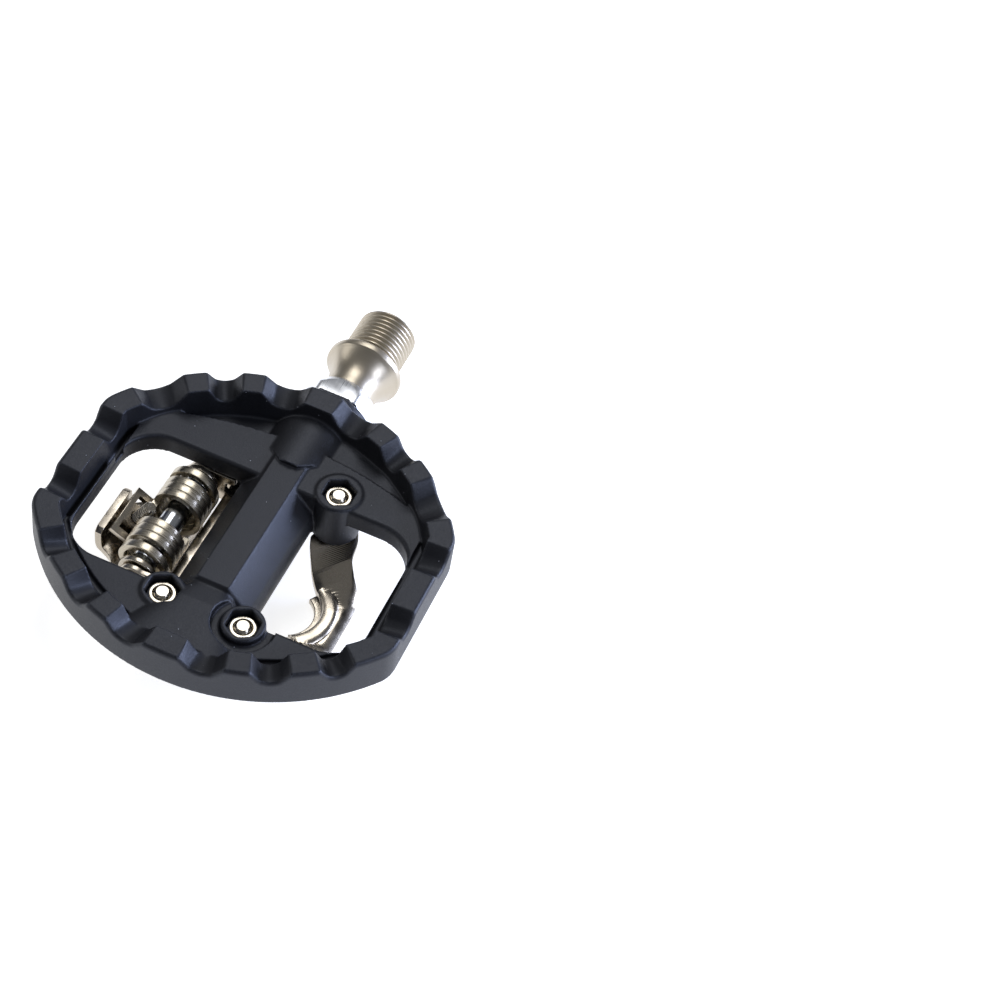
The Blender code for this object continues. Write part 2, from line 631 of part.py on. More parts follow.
def rear_bracket():
    """Fixed plate under the rear bosses with an ear at each end of the pivot pin."""
    low_y, high_y = -12.8, -9.6
    low_x, high_x = BODY_X + BOSS_REAR_INBOARD[0], BODY_X + BOSS_REAR_OUTBOARD[0]
    strip = [(low_x, low_y), (high_x - 2.5, low_y), (high_x, -11.0), (high_x, high_y), (low_x, high_y)]
    bracket = finish("rear_bracket", prism(strip, FOOT_BOTTOM, FOOT_TOP), NICKEL)
    for label, boss, radius in (("ri", BOSS_REAR_INBOARD, 3.7), ("ro", BOSS_REAR_OUTBOARD, 4.5)):
        foot = prism(circle(boss_centre(boss), radius, 28), FOOT_BOTTOM, FOOT_TOP)
        add(bracket, finish("guide_bracket_foot_" + label, foot))
    leg = ((-21.6, -1.6), (-20.0, -3.0), (-13.8, FOOT_BOTTOM + 0.2), (-10.4, FOOT_BOTTOM + 0.2),
           (-10.4, -3.6), (-12.6, -1.5), (-12.4, 0.8), (-10.2, 1.6), (-10.2, 3.2), (-13.4, 3.2))
    outline = arc((PIN_Y, PIN_Z), BRACKET_EAR_R, 60, 180, 9) + list(leg)
    for label, x in (("inboard", MECHANISM_X - 16.8), ("outboard", MECHANISM_X + 15.4)):
        add(bracket, finish("guide_bracket_ear_" + label, prism(outline, x, x + EAR_PLATE, axis="X")))
    cut(bracket, pivot_hole("guide_bracket_pivot", PIN_R + 0.2))
    for label, boss in (("ri", BOSS_REAR_INBOARD), ("ro", BOSS_REAR_OUTBOARD)):
        hole = prism(circle(boss_centre(boss), BOLT_R + GAP, 20), -14, 0)
        cut(bracket, finish("guide_bracket_hole_" + label, hole))


def along_pin(profile, steps, solid=True):
    bm = turned(profile, steps, solid)
    bmesh.ops.translate(bm, verts=bm.verts, vec=(0, PIN_Y, PIN_Z))
    return bm


def pivot_pin():
    start, end = MECHANISM_X - 18.6, MECHANISM_X + 17.1
    profile = ((start, 0), (start, PIN_R - 0.4), (start + 0.4, PIN_R), (start + 0.7, PIN_R),
               (start + 0.7, PIN_R - 0.5), (start + 1.5, PIN_R - 0.5), (start + 1.5, PIN_R), (end, PIN_R),
               (end, 2.9), (end + 0.9, 2.9), (end + 1.2, 2.5), (end + 1.2, 0))
    pin = finish("pivot_pin", along_pin(profile, 28), STEEL, pivot=(0, PIN_Y, PIN_Z))
    clip_low = start + 0.8
    clip = ((clip_low, PIN_R - 0.35), (clip_low, 3.3), (clip_low + 0.6, 3.3), (clip_low + 0.6, PIN_R - 0.35))
    washer = finish("pin_clip", along_pin(clip, 28, False), STEEL)
    mouth = [(PIN_Y - 1.1, PIN_Z - 6), (PIN_Y + 1.1, PIN_Z - 6), (PIN_Y + 1.1, PIN_Z), (PIN_Y - 1.1, PIN_Z)]
    cut(washer, finish("guide_clip_mouth", prism(mouth, clip_low - 1, clip_low + 2, axis="X")))
    sleeve = ((MECHANISM_X - 13.2, PIN_R + 0.25), (MECHANISM_X - 13.2, 2.9), (MECHANISM_X + 13.2, 2.9),
              (MECHANISM_X + 13.2, PIN_R + 0.25))
    finish("spring_sleeve", along_pin(sleeve, 28, False), STEEL)
    return pin


def torsion_spring(name, x_start, hand):
    """Flat-wire coil on the pivot axis; the last half turn stands off as the end leg."""
    wire_width, wire_depth = SPRING_WIRE
    per_turn = 22
    count = int(SPRING_TURNS * per_turn)
    pitch = (SPRING_LENGTH - wire_width) / SPRING_TURNS
    rings = []
    for i in range(count + 1):
        turn = i / per_turn
        angle = hand * math.tau * turn + math.radians(100)
        x = x_start + hand * pitch * turn
        low, high = x, x + hand * wire_width
        outer, inner = SPRING_R, SPRING_R - wire_depth
        corners = ((low, outer), (high, outer), (high, inner), (low, inner))
        rings.append([(side, PIN_Y + reach * math.cos(angle), PIN_Z + reach * math.sin(angle))
                      for side, reach in corners])
    return finish(name, loft(rings), NICKEL, pivot=(0, PIN_Y, PIN_Z))


def springs():
    middle_gap = 2.0
    torsion_spring("spring_outboard", MECHANISM_X + middle_gap, 1)
    torsion_spring("spring_inboard", MECHANISM_X - middle_gap, -1)


def screw_axis():
    """Tip of the tension screw, and its direction towards the head."""
    tip = Vector((MECHANISM_X, *SCREW_TIP))
    return tip, Vector((0, -math.sin(SCREW_TILT), -math.cos(SCREW_TILT)))


def rear_catch():
    """Sprung claw: hook, floor under the springs and tail in one bent plate, with two ears."""
    path = ((-10.0, -11.6, 5.5), (-13.2, -11.6, 8.0), (-15.6, -10.6, 9.5), (-17.2, -9.0, 13.0),
            (-19.0, -8.2, 15.0), (-24.0, -7.7, 15.0), (-28.0, -7.5, 9.0), (-30.8, -7.3, 6.6),
            (-32.2, -6.6, 6.0), (-32.9, -5.2, 6.0), (-33.0, 1.0, 6.0))
    rows = []
    for i, (y, z, half_width) in enumerate(path):
        before = path[max(i - 1, 0)]
        after = path[min(i + 1, len(path) - 1)]
        along = Vector((0, after[0] - before[0], after[1] - before[1])).normalized()
        out = Vector((0, along.z, -along.y))
        rows.append(((MECHANISM_X - half_width, y, z), (MECHANISM_X + half_width, y, z), -out))
    pivot = (0, PIN_Y, PIN_Z)
    bm = plate_from_rows(rows, CLAW_PLATE)
    claw = finish("rear_catch", bm, NICKEL, smooth_angle=40, pivot=pivot)
    leg = ((-22.6, -2.0), (-24.0, -7.0), (-16.4, -7.4), (-14.2, -3.0))
    for label, x in (("inboard", MECHANISM_X - 15.0), ("outboard", MECHANISM_X + 13.6)):
        ear = prism(ear_outline(CLAW_EAR_R, leg), x, x + EAR_PLATE, axis="X")
        add(claw, finish("guide_catch_ear_" + label, ear))
    cut(claw, pivot_hole("guide_catch_pivot", PIN_R + 0.3))
    notch = [(-34.5, -0.6), (-31, -0.6), (-31, 2), (-34.5, 2)]
    cut(claw, finish("guide_tail_notch", prism(notch, MECHANISM_X - 4.2, MECHANISM_X - 2.0, axis="X")))
    tip, direction = screw_axis()
    cut(claw, rod("guide_screw_hole", tip + direction * 8, direction, SCREW_R + 0.4, 12))


def tension_screw():
    tip, direction = screw_axis()
    chamfer = 0.4
    head_end = SCREW_LENGTH + SCREW_HEAD
    profile = ((0, 0), (0, SCREW_R - chamfer), (chamfer, SCREW_R), (SCREW_LENGTH, SCREW_R),
               (SCREW_LENGTH, SCREW_HEAD_R), (head_end - chamfer, SCREW_HEAD_R),
               (head_end, SCREW_HEAD_R - chamfer), (head_end, 0))
    bm = turned(profile, 24)
    turn = direction.to_track_quat("X", "Z").to_matrix().to_4x4()
    bmesh.ops.transform(bm, matrix=Matrix.Translation(tip) @ turn, verts=bm.verts)
    screw = finish("tension_screw", bm, NICKEL, pivot=tip)
    key = prism(hexagon((0, 0), KEY_FLATS), SCREW_LENGTH + 0.6, SCREW_LENGTH + 4, axis="X")
    bmesh.ops.transform(key, matrix=Matrix.Translation(tip) @ turn, verts=key.verts)
    cut(screw, finish("guide_key_tension", key))


def tension_plate():
    """Threaded follower with two windows, square to the screw; it loads the springs' middle legs."""
    tip, direction = screw_axis()
    turn = direction.to_track_quat("X", "Z").to_matrix().to_4x4()
    place = Matrix.Translation(tip + direction * FOLLOWER_AT) @ turn
    near, far = FOLLOWER_DEPTH
    frame = 1.3                 # metal left round each window

    def slab(width_low, width_high, depth_low, depth_high, low, high):
        outline = [(width_low, depth_low), (width_high, depth_low), (width_high, depth_high),
                   (width_low, depth_high)]
        bm = prism(outline, low, high, axis="X")
        bmesh.ops.transform(bm, matrix=place, verts=bm.verts)
        return bm

    plate = finish("tension_plate", slab(-FOLLOWER_HALF_WIDTH, FOLLOWER_HALF_WIDTH, near, far,
                                         -FOLLOWER_HALF_THICKNESS, FOLLOWER_HALF_THICKNESS), NICKEL)
    for side in (-1, 1):
        inner, outer = sorted((side * 2.6, side * 4.8))
        opening = slab(inner, outer, near + frame, far - frame, -3, 3)
        cut(plate, finish("guide_plate_window_%d" % (side + 1), opening))
    cut(plate, rod("guide_plate_bore", tip, direction, SCREW_R + 0.25, 14))


def build():
    clear_scene()
    pedal_body()
    spindle()
    axle_collar()
    bearings()
    fasteners()
    front_catch()
    rear_bracket()
    pivot_pin()
    springs()
    rear_catch()
    tension_screw()
    tension_plate()


build()
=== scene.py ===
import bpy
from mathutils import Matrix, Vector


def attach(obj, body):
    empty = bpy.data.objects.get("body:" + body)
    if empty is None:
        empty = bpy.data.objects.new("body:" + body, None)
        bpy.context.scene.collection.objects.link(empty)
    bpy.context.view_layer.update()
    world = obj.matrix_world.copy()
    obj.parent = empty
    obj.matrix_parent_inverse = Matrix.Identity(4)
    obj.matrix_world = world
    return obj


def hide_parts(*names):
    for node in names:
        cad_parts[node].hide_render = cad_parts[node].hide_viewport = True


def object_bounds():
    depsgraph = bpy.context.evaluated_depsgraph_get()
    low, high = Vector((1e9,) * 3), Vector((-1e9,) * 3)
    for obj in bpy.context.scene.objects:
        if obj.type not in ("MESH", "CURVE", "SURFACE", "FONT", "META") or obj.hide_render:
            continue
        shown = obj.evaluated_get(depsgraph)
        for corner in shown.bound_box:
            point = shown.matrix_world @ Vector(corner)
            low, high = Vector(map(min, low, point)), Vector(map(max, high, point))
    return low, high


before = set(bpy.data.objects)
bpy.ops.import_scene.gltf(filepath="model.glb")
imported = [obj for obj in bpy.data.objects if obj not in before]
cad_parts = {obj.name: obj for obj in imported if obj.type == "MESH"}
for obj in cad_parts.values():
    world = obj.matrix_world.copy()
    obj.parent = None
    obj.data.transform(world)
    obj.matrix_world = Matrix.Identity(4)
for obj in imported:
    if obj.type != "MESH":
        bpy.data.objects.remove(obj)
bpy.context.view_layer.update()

import math

import bmesh
import bpy
import numpy as np
from mathutils import Matrix, Vector

MM = 0.001

# Sizes in millimetres, the same as the solids'. u is the distance from BODY_X along the spindle.
GAP = 0.3
THREAD_R = 7.14
THREAD_LENGTH = 13.6
THREAD_PITCH = 1.27
SEAT_R = 7.3
UNDERCUT = 0.5
FLANGE_R = 9.25
NECK_R = 6.2
BODY_X = 62.0
INBOARD_FACE = BODY_X - 43.5
TUBE_R = 9.35
TUBE_TOP = 9.6
TUBE_FLAT = 3.7
BORE_R = 7.2
BORE_END = BODY_X + 18.5
COLLAR_BORE_R = 8.7
COLLAR_BORE_DEPTH = 8.5
CAGE_HALF_LENGTH = 42.0
INBOARD_ARC = (8.0, 47.5)
OUTBOARD_ARC = (-10.3, 50.6)
CAGE_CORNER_R = 7.0
CAGE_BOTTOM = 4.0
GROOVE_FLOOR = 6.5
WEB_TOP = 9.0
TOOTH_TOP = 14.4
TOOTH_DEPTH = 2.9
RIM_WIDTH = 6.4
WINDOW_INBOARD = -14.4
WINDOW_OUTBOARD = 21.2
WINDOW_END = 34.0
WINDOW_CORNER_R = 8.5
BOSSES = {"front_inboard": (-18.2, 13.0), "front_outboard": (22.7, 10.3),
          "rear_outboard": (22.7, -8.4), "rear_inboard": (-21.8, -12.7)}
BOSS_BOTTOM = -3.0
BOSS_TOP = 9.4
NUT_FLATS = 6.0
NUT_BOTTOM = 5.0
NUT_TOP = 7.9
BOLT_R = 1.75
BOLT_PITCH = 0.6
BOLT_END = 8.5
PLATE = 2.0
FOOT_TOP = BOSS_BOTTOM - GAP
FOOT_BOTTOM = FOOT_TOP - PLATE
MECHANISM_X = BODY_X + 0.8
PIN_Y = -18.2
PIN_Z = 0.0
PIN_R = 2.0
SPRING_R = 6.0
SPRING_WIRE = (1.9, 1.4)
SPRING_LENGTH = 11.4
SCREW_TILT = math.radians(30)
SCREW_R = 1.5
SCREW_TIP = (-22.6, 3.6)
INBOARD_PADS = ((-3.6, 3.8), (14.4, 19.1), (26.3, 30.5))
OUTBOARD_PADS = ((-4.0, 4.0), (13.5, 18.5), (26.0, 31.0))
INBOARD_CORNER_PAD = (38.7, -11.5)
OUTBOARD_CORNER_PAD = (36.5, 14.7)
END_PAD = (-3.4, 7.0)


# ---------------------------------------------------------------- materials

def linear(hex_colour):
    """sRGB hex to a linear RGBA value."""
    parts = [int(hex_colour[i:i + 2], 16) / 255 for i in (1, 3, 5)]
    return tuple(c / 12.92 if c <= 0.04045 else ((c + 0.055) / 1.055) ** 2.4 for c in parts) + (1.0,)


def per(size_mm):
    """Texture scale that gives features of this size on Object coordinates."""
    return 1000.0 / size_mm


def node(tree, kind, values=None, links=None, **settings):
    made = tree.nodes.new(kind)
    for name, value in settings.items():
        setattr(made, name, value)
    for key, value in (values or {}).items():
        made.inputs[key].default_value = value
    for key, source in (links or {}).items():
        tree.links.new(source, made.inputs[key])
    return made


def begin(name, colour, roughness, metallic):
    """A Principled material with its tree, shader and Object coordinates."""
    made = bpy.data.materials.new(name)
    made.use_nodes = True
    tree = made.node_tree
    shader = tree.nodes["Principled BSDF"]
    shader.inputs["Base Color"].default_value = linear(colour)
    shader.inputs["Roughness"].default_value = roughness
    shader.inputs["Metallic"].default_value = metallic
    place = node(tree, "ShaderNodeTexCoord").outputs["Object"]
    return made, tree, shader, place


def noise(tree, place, size, detail, roughness=0.5):
    """Noise with features of one size in mm, or of three sizes along X, Y and Z."""
    scale = 1.0
    if isinstance(size, tuple):
        stretch = tuple(per(part) for part in size)
        place = node(tree, "ShaderNodeMapping", {"Scale": stretch}, {"Vector": place}).outputs["Vector"]
    else:
        scale = per(size)
    values = {"Scale": scale, "Detail": detail, "Roughness": roughness}
    return node(tree, "ShaderNodeTexNoise", values, {"Vector": place}).outputs["Fac"]


def spread(tree, source, start, end, low=0.0, high=1.0):
    """Map start..end of a value onto low..high."""
    values = {"From Min": start, "From Max": end, "To Min": low, "To Max": high}
    return node(tree, "ShaderNodeMapRange", values, {"Value": source}).outputs["Result"]


def blend(tree, factor, first, second):
    """Mix two colours, each a hex value or a socket."""
    values, links = {}, {"Factor": factor}
    for key, colour in (("A", first), ("B", second)):
        if isinstance(colour, str):
            values[key] = linear(colour)
        else:
            links[key] = colour
    return node(tree, "ShaderNodeMix", values, links, data_type="RGBA").outputs["Result"]


def relief(tree, shader, height, strength, depth, under=None):
    """Bump of a depth in metres, laid over another bump if under is given."""
    links = {"Height": height}
    if under:
        links["Normal"] = under
    normal = node(tree, "ShaderNodeBump", {"Strength": strength, "Distance": depth}, links).outputs["Normal"]
    tree.links.new(normal, shader.inputs["Normal"])
    return normal


def painted_casting():
    """Die-cast aluminium, sand-blasted and painted satin black: a fine even grain with a cool
    sheen, scattered bright specks, and convex edges painted lighter: partly paint wear, partly a painted
    highlight."""
    made, tree, shader, place = begin("painted_cast_aluminium", "#141416", 0.46, 0.0)
    grain = noise(tree, place, 0.32, 3.0, 0.6)
    cloud = noise(tree, place, 9.0, 2.0)
    speck = node(tree, "ShaderNodeTexVoronoi", {"Scale": per(1.5), "Randomness": 1.0}, {"Vector": place})
    dot = spread(tree, speck.outputs["Distance"], 0.04, 0.075, 1.0, 0.0)
    pick = node(tree, "ShaderNodeSeparateColor", None, {"Color": speck.outputs["Color"]})
    rare = node(tree, "ShaderNodeMath", {1: 0.9}, {0: pick.outputs["Red"]}, operation="GREATER_THAN")
    lone = node(tree, "ShaderNodeMath", None, {0: dot, 1: rare.outputs[0]}, operation="MULTIPLY")
    edge = node(tree, "ShaderNodeAttribute", attribute_name="edge")
    broken = spread(tree, grain, 0.35, 0.7)
    wear_and_painted_highlight = node(tree, "ShaderNodeMath", None, {0: edge.outputs["Fac"], 1: broken}, operation="MULTIPLY")
    tone = blend(tree, spread(tree, grain, 0.3, 0.72), "#0f0f11", "#1e1e22")
    tint = blend(tree, cloud, tone, "#17181c")
    # convex edges mixed towards blue-grey #4d515c: partly paint wear, partly a painted highlight along the
    # edges
    wear_and_highlight_colour = blend(tree, wear_and_painted_highlight.outputs[0], tint, "#4d515c")
    final = blend(tree, lone.outputs[0], wear_and_highlight_colour, "#b9bec9")
    tree.links.new(final, shader.inputs["Base Color"])
    tree.links.new(spread(tree, grain, 0.25, 0.75, 0.40, 0.56), shader.inputs["Roughness"])
    relief(tree, shader, grain, 0.5, 0.00006)
    shader.inputs["Specular IOR Level"].default_value = 0.5
    shader.inputs["Specular Tint"].default_value = linear("#e3e8f6")
    return made


def turned_steel():
    """Chrome-molybdenum steel, turned and satin nickel plated: faint rings round the axis and a
    warm soft-edged shine."""
    made, tree, shader, place = begin("satin_nickel_steel", "#cfc6b6", 0.27, 1.0)
    turned_lines = noise(tree, place, (0.12, 60, 60), 2.0)
    cloud = noise(tree, place, 5.0, 4.0)
    tree.links.new(blend(tree, cloud, "#b0a592", "#c4bcad"), shader.inputs["Base Color"])
    tree.links.new(spread(tree, turned_lines, 0.3, 0.7, 0.30, 0.42), shader.inputs["Roughness"])
    relief(tree, shader, turned_lines, 0.25, 0.00002)
    return made


def milled_aluminium():
    """Aluminium bar, milled and clear anodised: a pale even shine with cutter lines along the flats."""
    made, tree, shader, place = begin("clear_anodised_aluminium", "#e9ebef", 0.33, 1.0)
    cutter = noise(tree, place, (6, 0.15, 0.15), 3.0)
    tree.links.new(spread(tree, cutter, 0.3, 0.7, 0.26, 0.42), shader.inputs["Roughness"])
    tree.links.new(blend(tree, cutter, "#dfe2e7", "#f2f3f5"), shader.inputs["Base Color"])
    relief(tree, shader, cutter, 0.2, 0.00002)
    return made


def plated_steel():
    """Stamped steel, barrelled and bright nickel plated: a slightly wavy shine with small pits and
    soft smudges."""
    made, tree, shader, place = begin("bright_nickel_steel", "#cdc5b8", 0.14, 1.0)
    wave = noise(tree, place, 3.5, 2.0)
    pits = noise(tree, place, 0.35, 3.0, 0.65)
    tree.links.new(spread(tree, wave, 0.3, 0.7, 0.17, 0.34), shader.inputs["Roughness"])
    tree.links.new(blend(tree, pits, "#a79d8e", "#c8c0b3"), shader.inputs["Base Color"])
    slow = relief(tree, shader, wave, 0.35, 0.00015)
    relief(tree, shader, pits, 0.2, 0.00003, slow)
    return made


def spring_wire():
    """Cold-drawn flat spring wire, nickel plated: bright, with fine drawing lines round the coil."""
    made, tree, shader, place = begin("drawn_spring_wire", "#cfc8ba", 0.16, 1.0)
    lines = noise(tree, place, (0.14, 2.5, 2.5), 3.0)
    tree.links.new(spread(tree, lines, 0.3, 0.7, 0.22, 0.36), shader.inputs["Roughness"])
    tree.links.new(blend(tree, lines, "#aca290", "#cbc4b5"), shader.inputs["Base Color"])
    relief(tree, shader, lines, 0.25, 0.00003)
    return made


def fastener_nickel():
    """Cold-headed steel fastener, nickel plated: bright and slightly grained from the barrel."""
    made, tree, shader, place = begin("nickel_fastener", "#d2ccc0", 0.2, 1.0)
    grain = noise(tree, place, 0.3, 3.0)
    tree.links.new(spread(tree, grain, 0.3, 0.7, 0.15, 0.3), shader.inputs["Roughness"])
    tree.links.new(blend(tree, grain, "#b0a797", "#cfc8bb"), shader.inputs["Base Color"])
    relief(tree, shader, grain, 0.25, 0.00003)
    return made


def bearing_steel():
    """Hardened chrome steel, ground: a cool mirror with grinding lines round the axis."""
    made, tree, shader, place = begin("ground_bearing_steel", "#c9ccd0", 0.15, 1.0)
    lines = noise(tree, place, (0.1, 40, 40), 2.0)
    tree.links.new(spread(tree, lines, 0.0, 1.0, 0.1, 0.22), shader.inputs["Roughness"])
    return made


def bush_bronze():
    """Sintered oil-filled bronze: matte brown-gold with open pores."""
    made, tree, shader, place = begin("sintered_bronze", "#a9824c", 0.45, 1.0)
    pores = noise(tree, place, 0.25, 3.0)
    tree.links.new(blend(tree, pores, "#6d5230", "#b8915a"), shader.inputs["Base Color"])
    return made


def seal_rubber():
    """Moulded nitrile rubber: deep matte black with a faint bloom."""
    made, tree, shader, place = begin("nitrile_rubber", "#131314", 0.75, 0.0)
    bloom = noise(tree, place, 1.2, 3.0)
    tree.links.new(blend(tree, bloom, "#0e0e0f", "#222326"), shader.inputs["Base Color"])
    return made


# ---------------------------------------------------------------- mesh helpers

def new_object(name, mesh):
    thing = bpy.data.objects.new(name, mesh)
    bpy.context.scene.collection.objects.link(thing)
    return thing


def shell(name, bm):
    """Turn a bmesh in millimetres into an object at the origin, in metres."""
    bmesh.ops.remove_doubles(bm, verts=bm.verts, dist=1e-4)
    bmesh.ops.recalc_face_normals(bm, faces=bm.faces)
    bmesh.ops.scale(bm, vec=(MM, MM, MM), verts=bm.verts)
    mesh = bpy.data.meshes.new(name)
    bm.to_mesh(mesh)
    bm.free()
    return new_object(name, mesh)


def settle(thing):
    """Apply every modifier and leave a plain mesh."""
    graph = bpy.context.evaluated_depsgraph_get()
    graph.update()
    mesh = bpy.data.meshes.new_from_object(thing.evaluated_get(graph))
    thing.modifiers.clear()
    thing.data = mesh
    return thing


def combine(thing, others, operation):
    for other in others:
        boolean = thing.modifiers.new(operation, "BOOLEAN")
        boolean.operation = operation
        boolean.object = other
        boolean.solver = "EXACT"
    settle(thing)
    for other in others:
        bpy.data.objects.remove(other)
    return thing


def dress(thing, body, look, nodes, smooth_angle=35):
    """Shading, material and the piece's place in the object."""
    mesh = thing.data
    mesh.materials.clear()
    mesh.materials.append(look)
    mesh.shade_smooth()
    if smooth_angle:
        mesh.set_sharp_from_angle(angle=math.radians(smooth_angle))
    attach(thing, body)
    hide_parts(*nodes)
    return thing


def loft(rings, closed_path=False):
    bm = bmesh.new()
    rows = [[bm.verts.new(point) for point in ring] for ring in rings]
    pairs = list(zip(rows, rows[1:]))
    if closed_path:
        pairs.append((rows[-1], rows[0]))
    for low, high in pairs:
        for i in range(len(low)):
            j = (i + 1) % len(low)
            bm.faces.new((low[i], low[j], high[j], high[i]))
    if not closed_path:
        bm.faces.new(rows[0][::-1])
        bm.faces.new(rows[-1])
    bmesh.ops.triangulate(bm, faces=bm.faces)
    return bm


def turned(profile, steps=96, solid=True):
    """Revolve (x, radius) points about X."""
    bm = bmesh.new()
    corners = [bm.verts.new((x, 0, radius)) for x, radius in profile]
    chain = [bm.edges.new(pair) for pair in zip(corners, corners[1:])]
    if not solid:
        chain.append(bm.edges.new((corners[-1], corners[0])))
    bmesh.ops.spin(bm, geom=corners + chain, cent=(0, 0, 0), axis=(1, 0, 0),
                   angle=math.tau, steps=steps, use_merge=True)
    bmesh.ops.remove_doubles(bm, verts=bm.verts, dist=1e-4)
    return bm


def rounded(profile, radius, count=4):
    """Round the inner corners of an open (x, r) profile."""
    out = [profile[0]]
    for before, here, after in zip(profile, profile[1:], profile[2:]):
        a, b, c = Vector(before), Vector(here), Vector(after)
        reach = min(radius, (a - b).length * 0.45, (c - b).length * 0.45)
        start, end = b + (a - b).normalized() * reach, b + (c - b).normalized() * reach
        for i in range(count + 1):
            t = i / count
            out.append(tuple(start.lerp(b, t).lerp(b.lerp(end, t), t)))
    return out + [profile[-1]]


def prism(outline, low, high, axis="Z", edge=0.0):
    """Extrude an outline along Z or X, with its two rims rounded by edge."""
    bm = bmesh.new()
    if axis == "Z":
        points = [(a, b, low) for a, b in outline]
        travel = Vector((0, 0, high - low))
    else:
        points = [(low, a, b) for a, b in outline]
        travel = Vector((high - low, 0, 0))
    face = bm.faces.new([bm.verts.new(point) for point in points])
    grown = bmesh.ops.extrude_face_region(bm, geom=[face])
    lifted = [item for item in grown["geom"] if isinstance(item, bmesh.types.BMVert)]
    bmesh.ops.translate(bm, verts=lifted, vec=travel)
    if edge:
        way = travel.normalized()
        rims = [e for e in bm.edges if abs((e.verts[1].co - e.verts[0].co).dot(way)) < 1e-6]
        bmesh.ops.bevel(bm, geom=rims, offset=edge, segments=3, profile=0.5, affect="EDGES",
                        clamp_overlap=True)
    return bm


def circle(centre, radius, count=64):
    steps = [math.tau * i / count for i in range(count)]
    return [(centre[0] + radius * math.cos(a), centre[1] + radius * math.sin(a)) for a in steps]


def hexagon(centre, flats):
    return circle(centre, flats / 2 / math.cos(math.pi / 6), 6)


def arc(centre, radius, start, end, count):
    angles = [math.radians(start + (end - start) * i / (count - 1)) for i in range(count)]
    return [(centre[0] + radius * math.cos(a), centre[1] + radius * math.sin(a)) for a in angles]


def boss_centre(label):
    u, y = BOSSES[label]
    return (BODY_X + u, y)


def move(bm, matrix):
    bmesh.ops.transform(bm, matrix=matrix, verts=bm.verts)
    return bm


# ---------------------------------------------------------------- geometry node trees

def begin_tree(name, sizes):
    """A geometry node group with one float input per size, and its input node."""
    tree = bpy.data.node_groups.new(name, "GeometryNodeTree")
    for label in sizes:
        kind = "NodeSocketInt" if label.startswith("Count") else "NodeSocketFloat"
        tree.interface.new_socket(label, in_out="INPUT", socket_type=kind)
    tree.interface.new_socket("Look", in_out="INPUT", socket_type="NodeSocketMaterial")
    tree.interface.new_socket("Geometry", in_out="OUTPUT", socket_type="NodeSocketGeometry")
    return tree, node(tree, "NodeGroupInput").outputs


def end_tree(tree, given, geometry):
    real = node(tree, "GeometryNodeRealizeInstances", None, {"Geometry": geometry})
    dressed = node(tree, "GeometryNodeSetMaterial", None, {"Geometry": real.outputs["Geometry"],
                                                           "Material": given["Look"]})
    node(tree, "NodeGroupOutput", None, {"Geometry": dressed.outputs["Geometry"]})
    return tree


def grown(name, tree, sizes, look):
    """Run a geometry node tree and keep its result as a plain mesh object."""
    thing = new_object(name, bpy.data.meshes.new(name))
    modifier = thing.modifiers.new("grow", "NODES")
    modifier.node_group = tree
    for item in tree.interface.items_tree:
        if item.in_out == "INPUT":
            modifier[item.identifier] = look if item.name == "Look" else sizes[item.name]
    return settle(thing)


def sum_of(tree, operation, first, second):
    """A Math node on two values, each a socket or a number."""
    values = {i: v for i, v in enumerate((first, second)) if isinstance(v, (int, float))}
    links = {i: v for i, v in enumerate((first, second)) if not isinstance(v, (int, float))}
    return node(tree, "ShaderNodeMath", values, links, operation=operation).outputs[0]


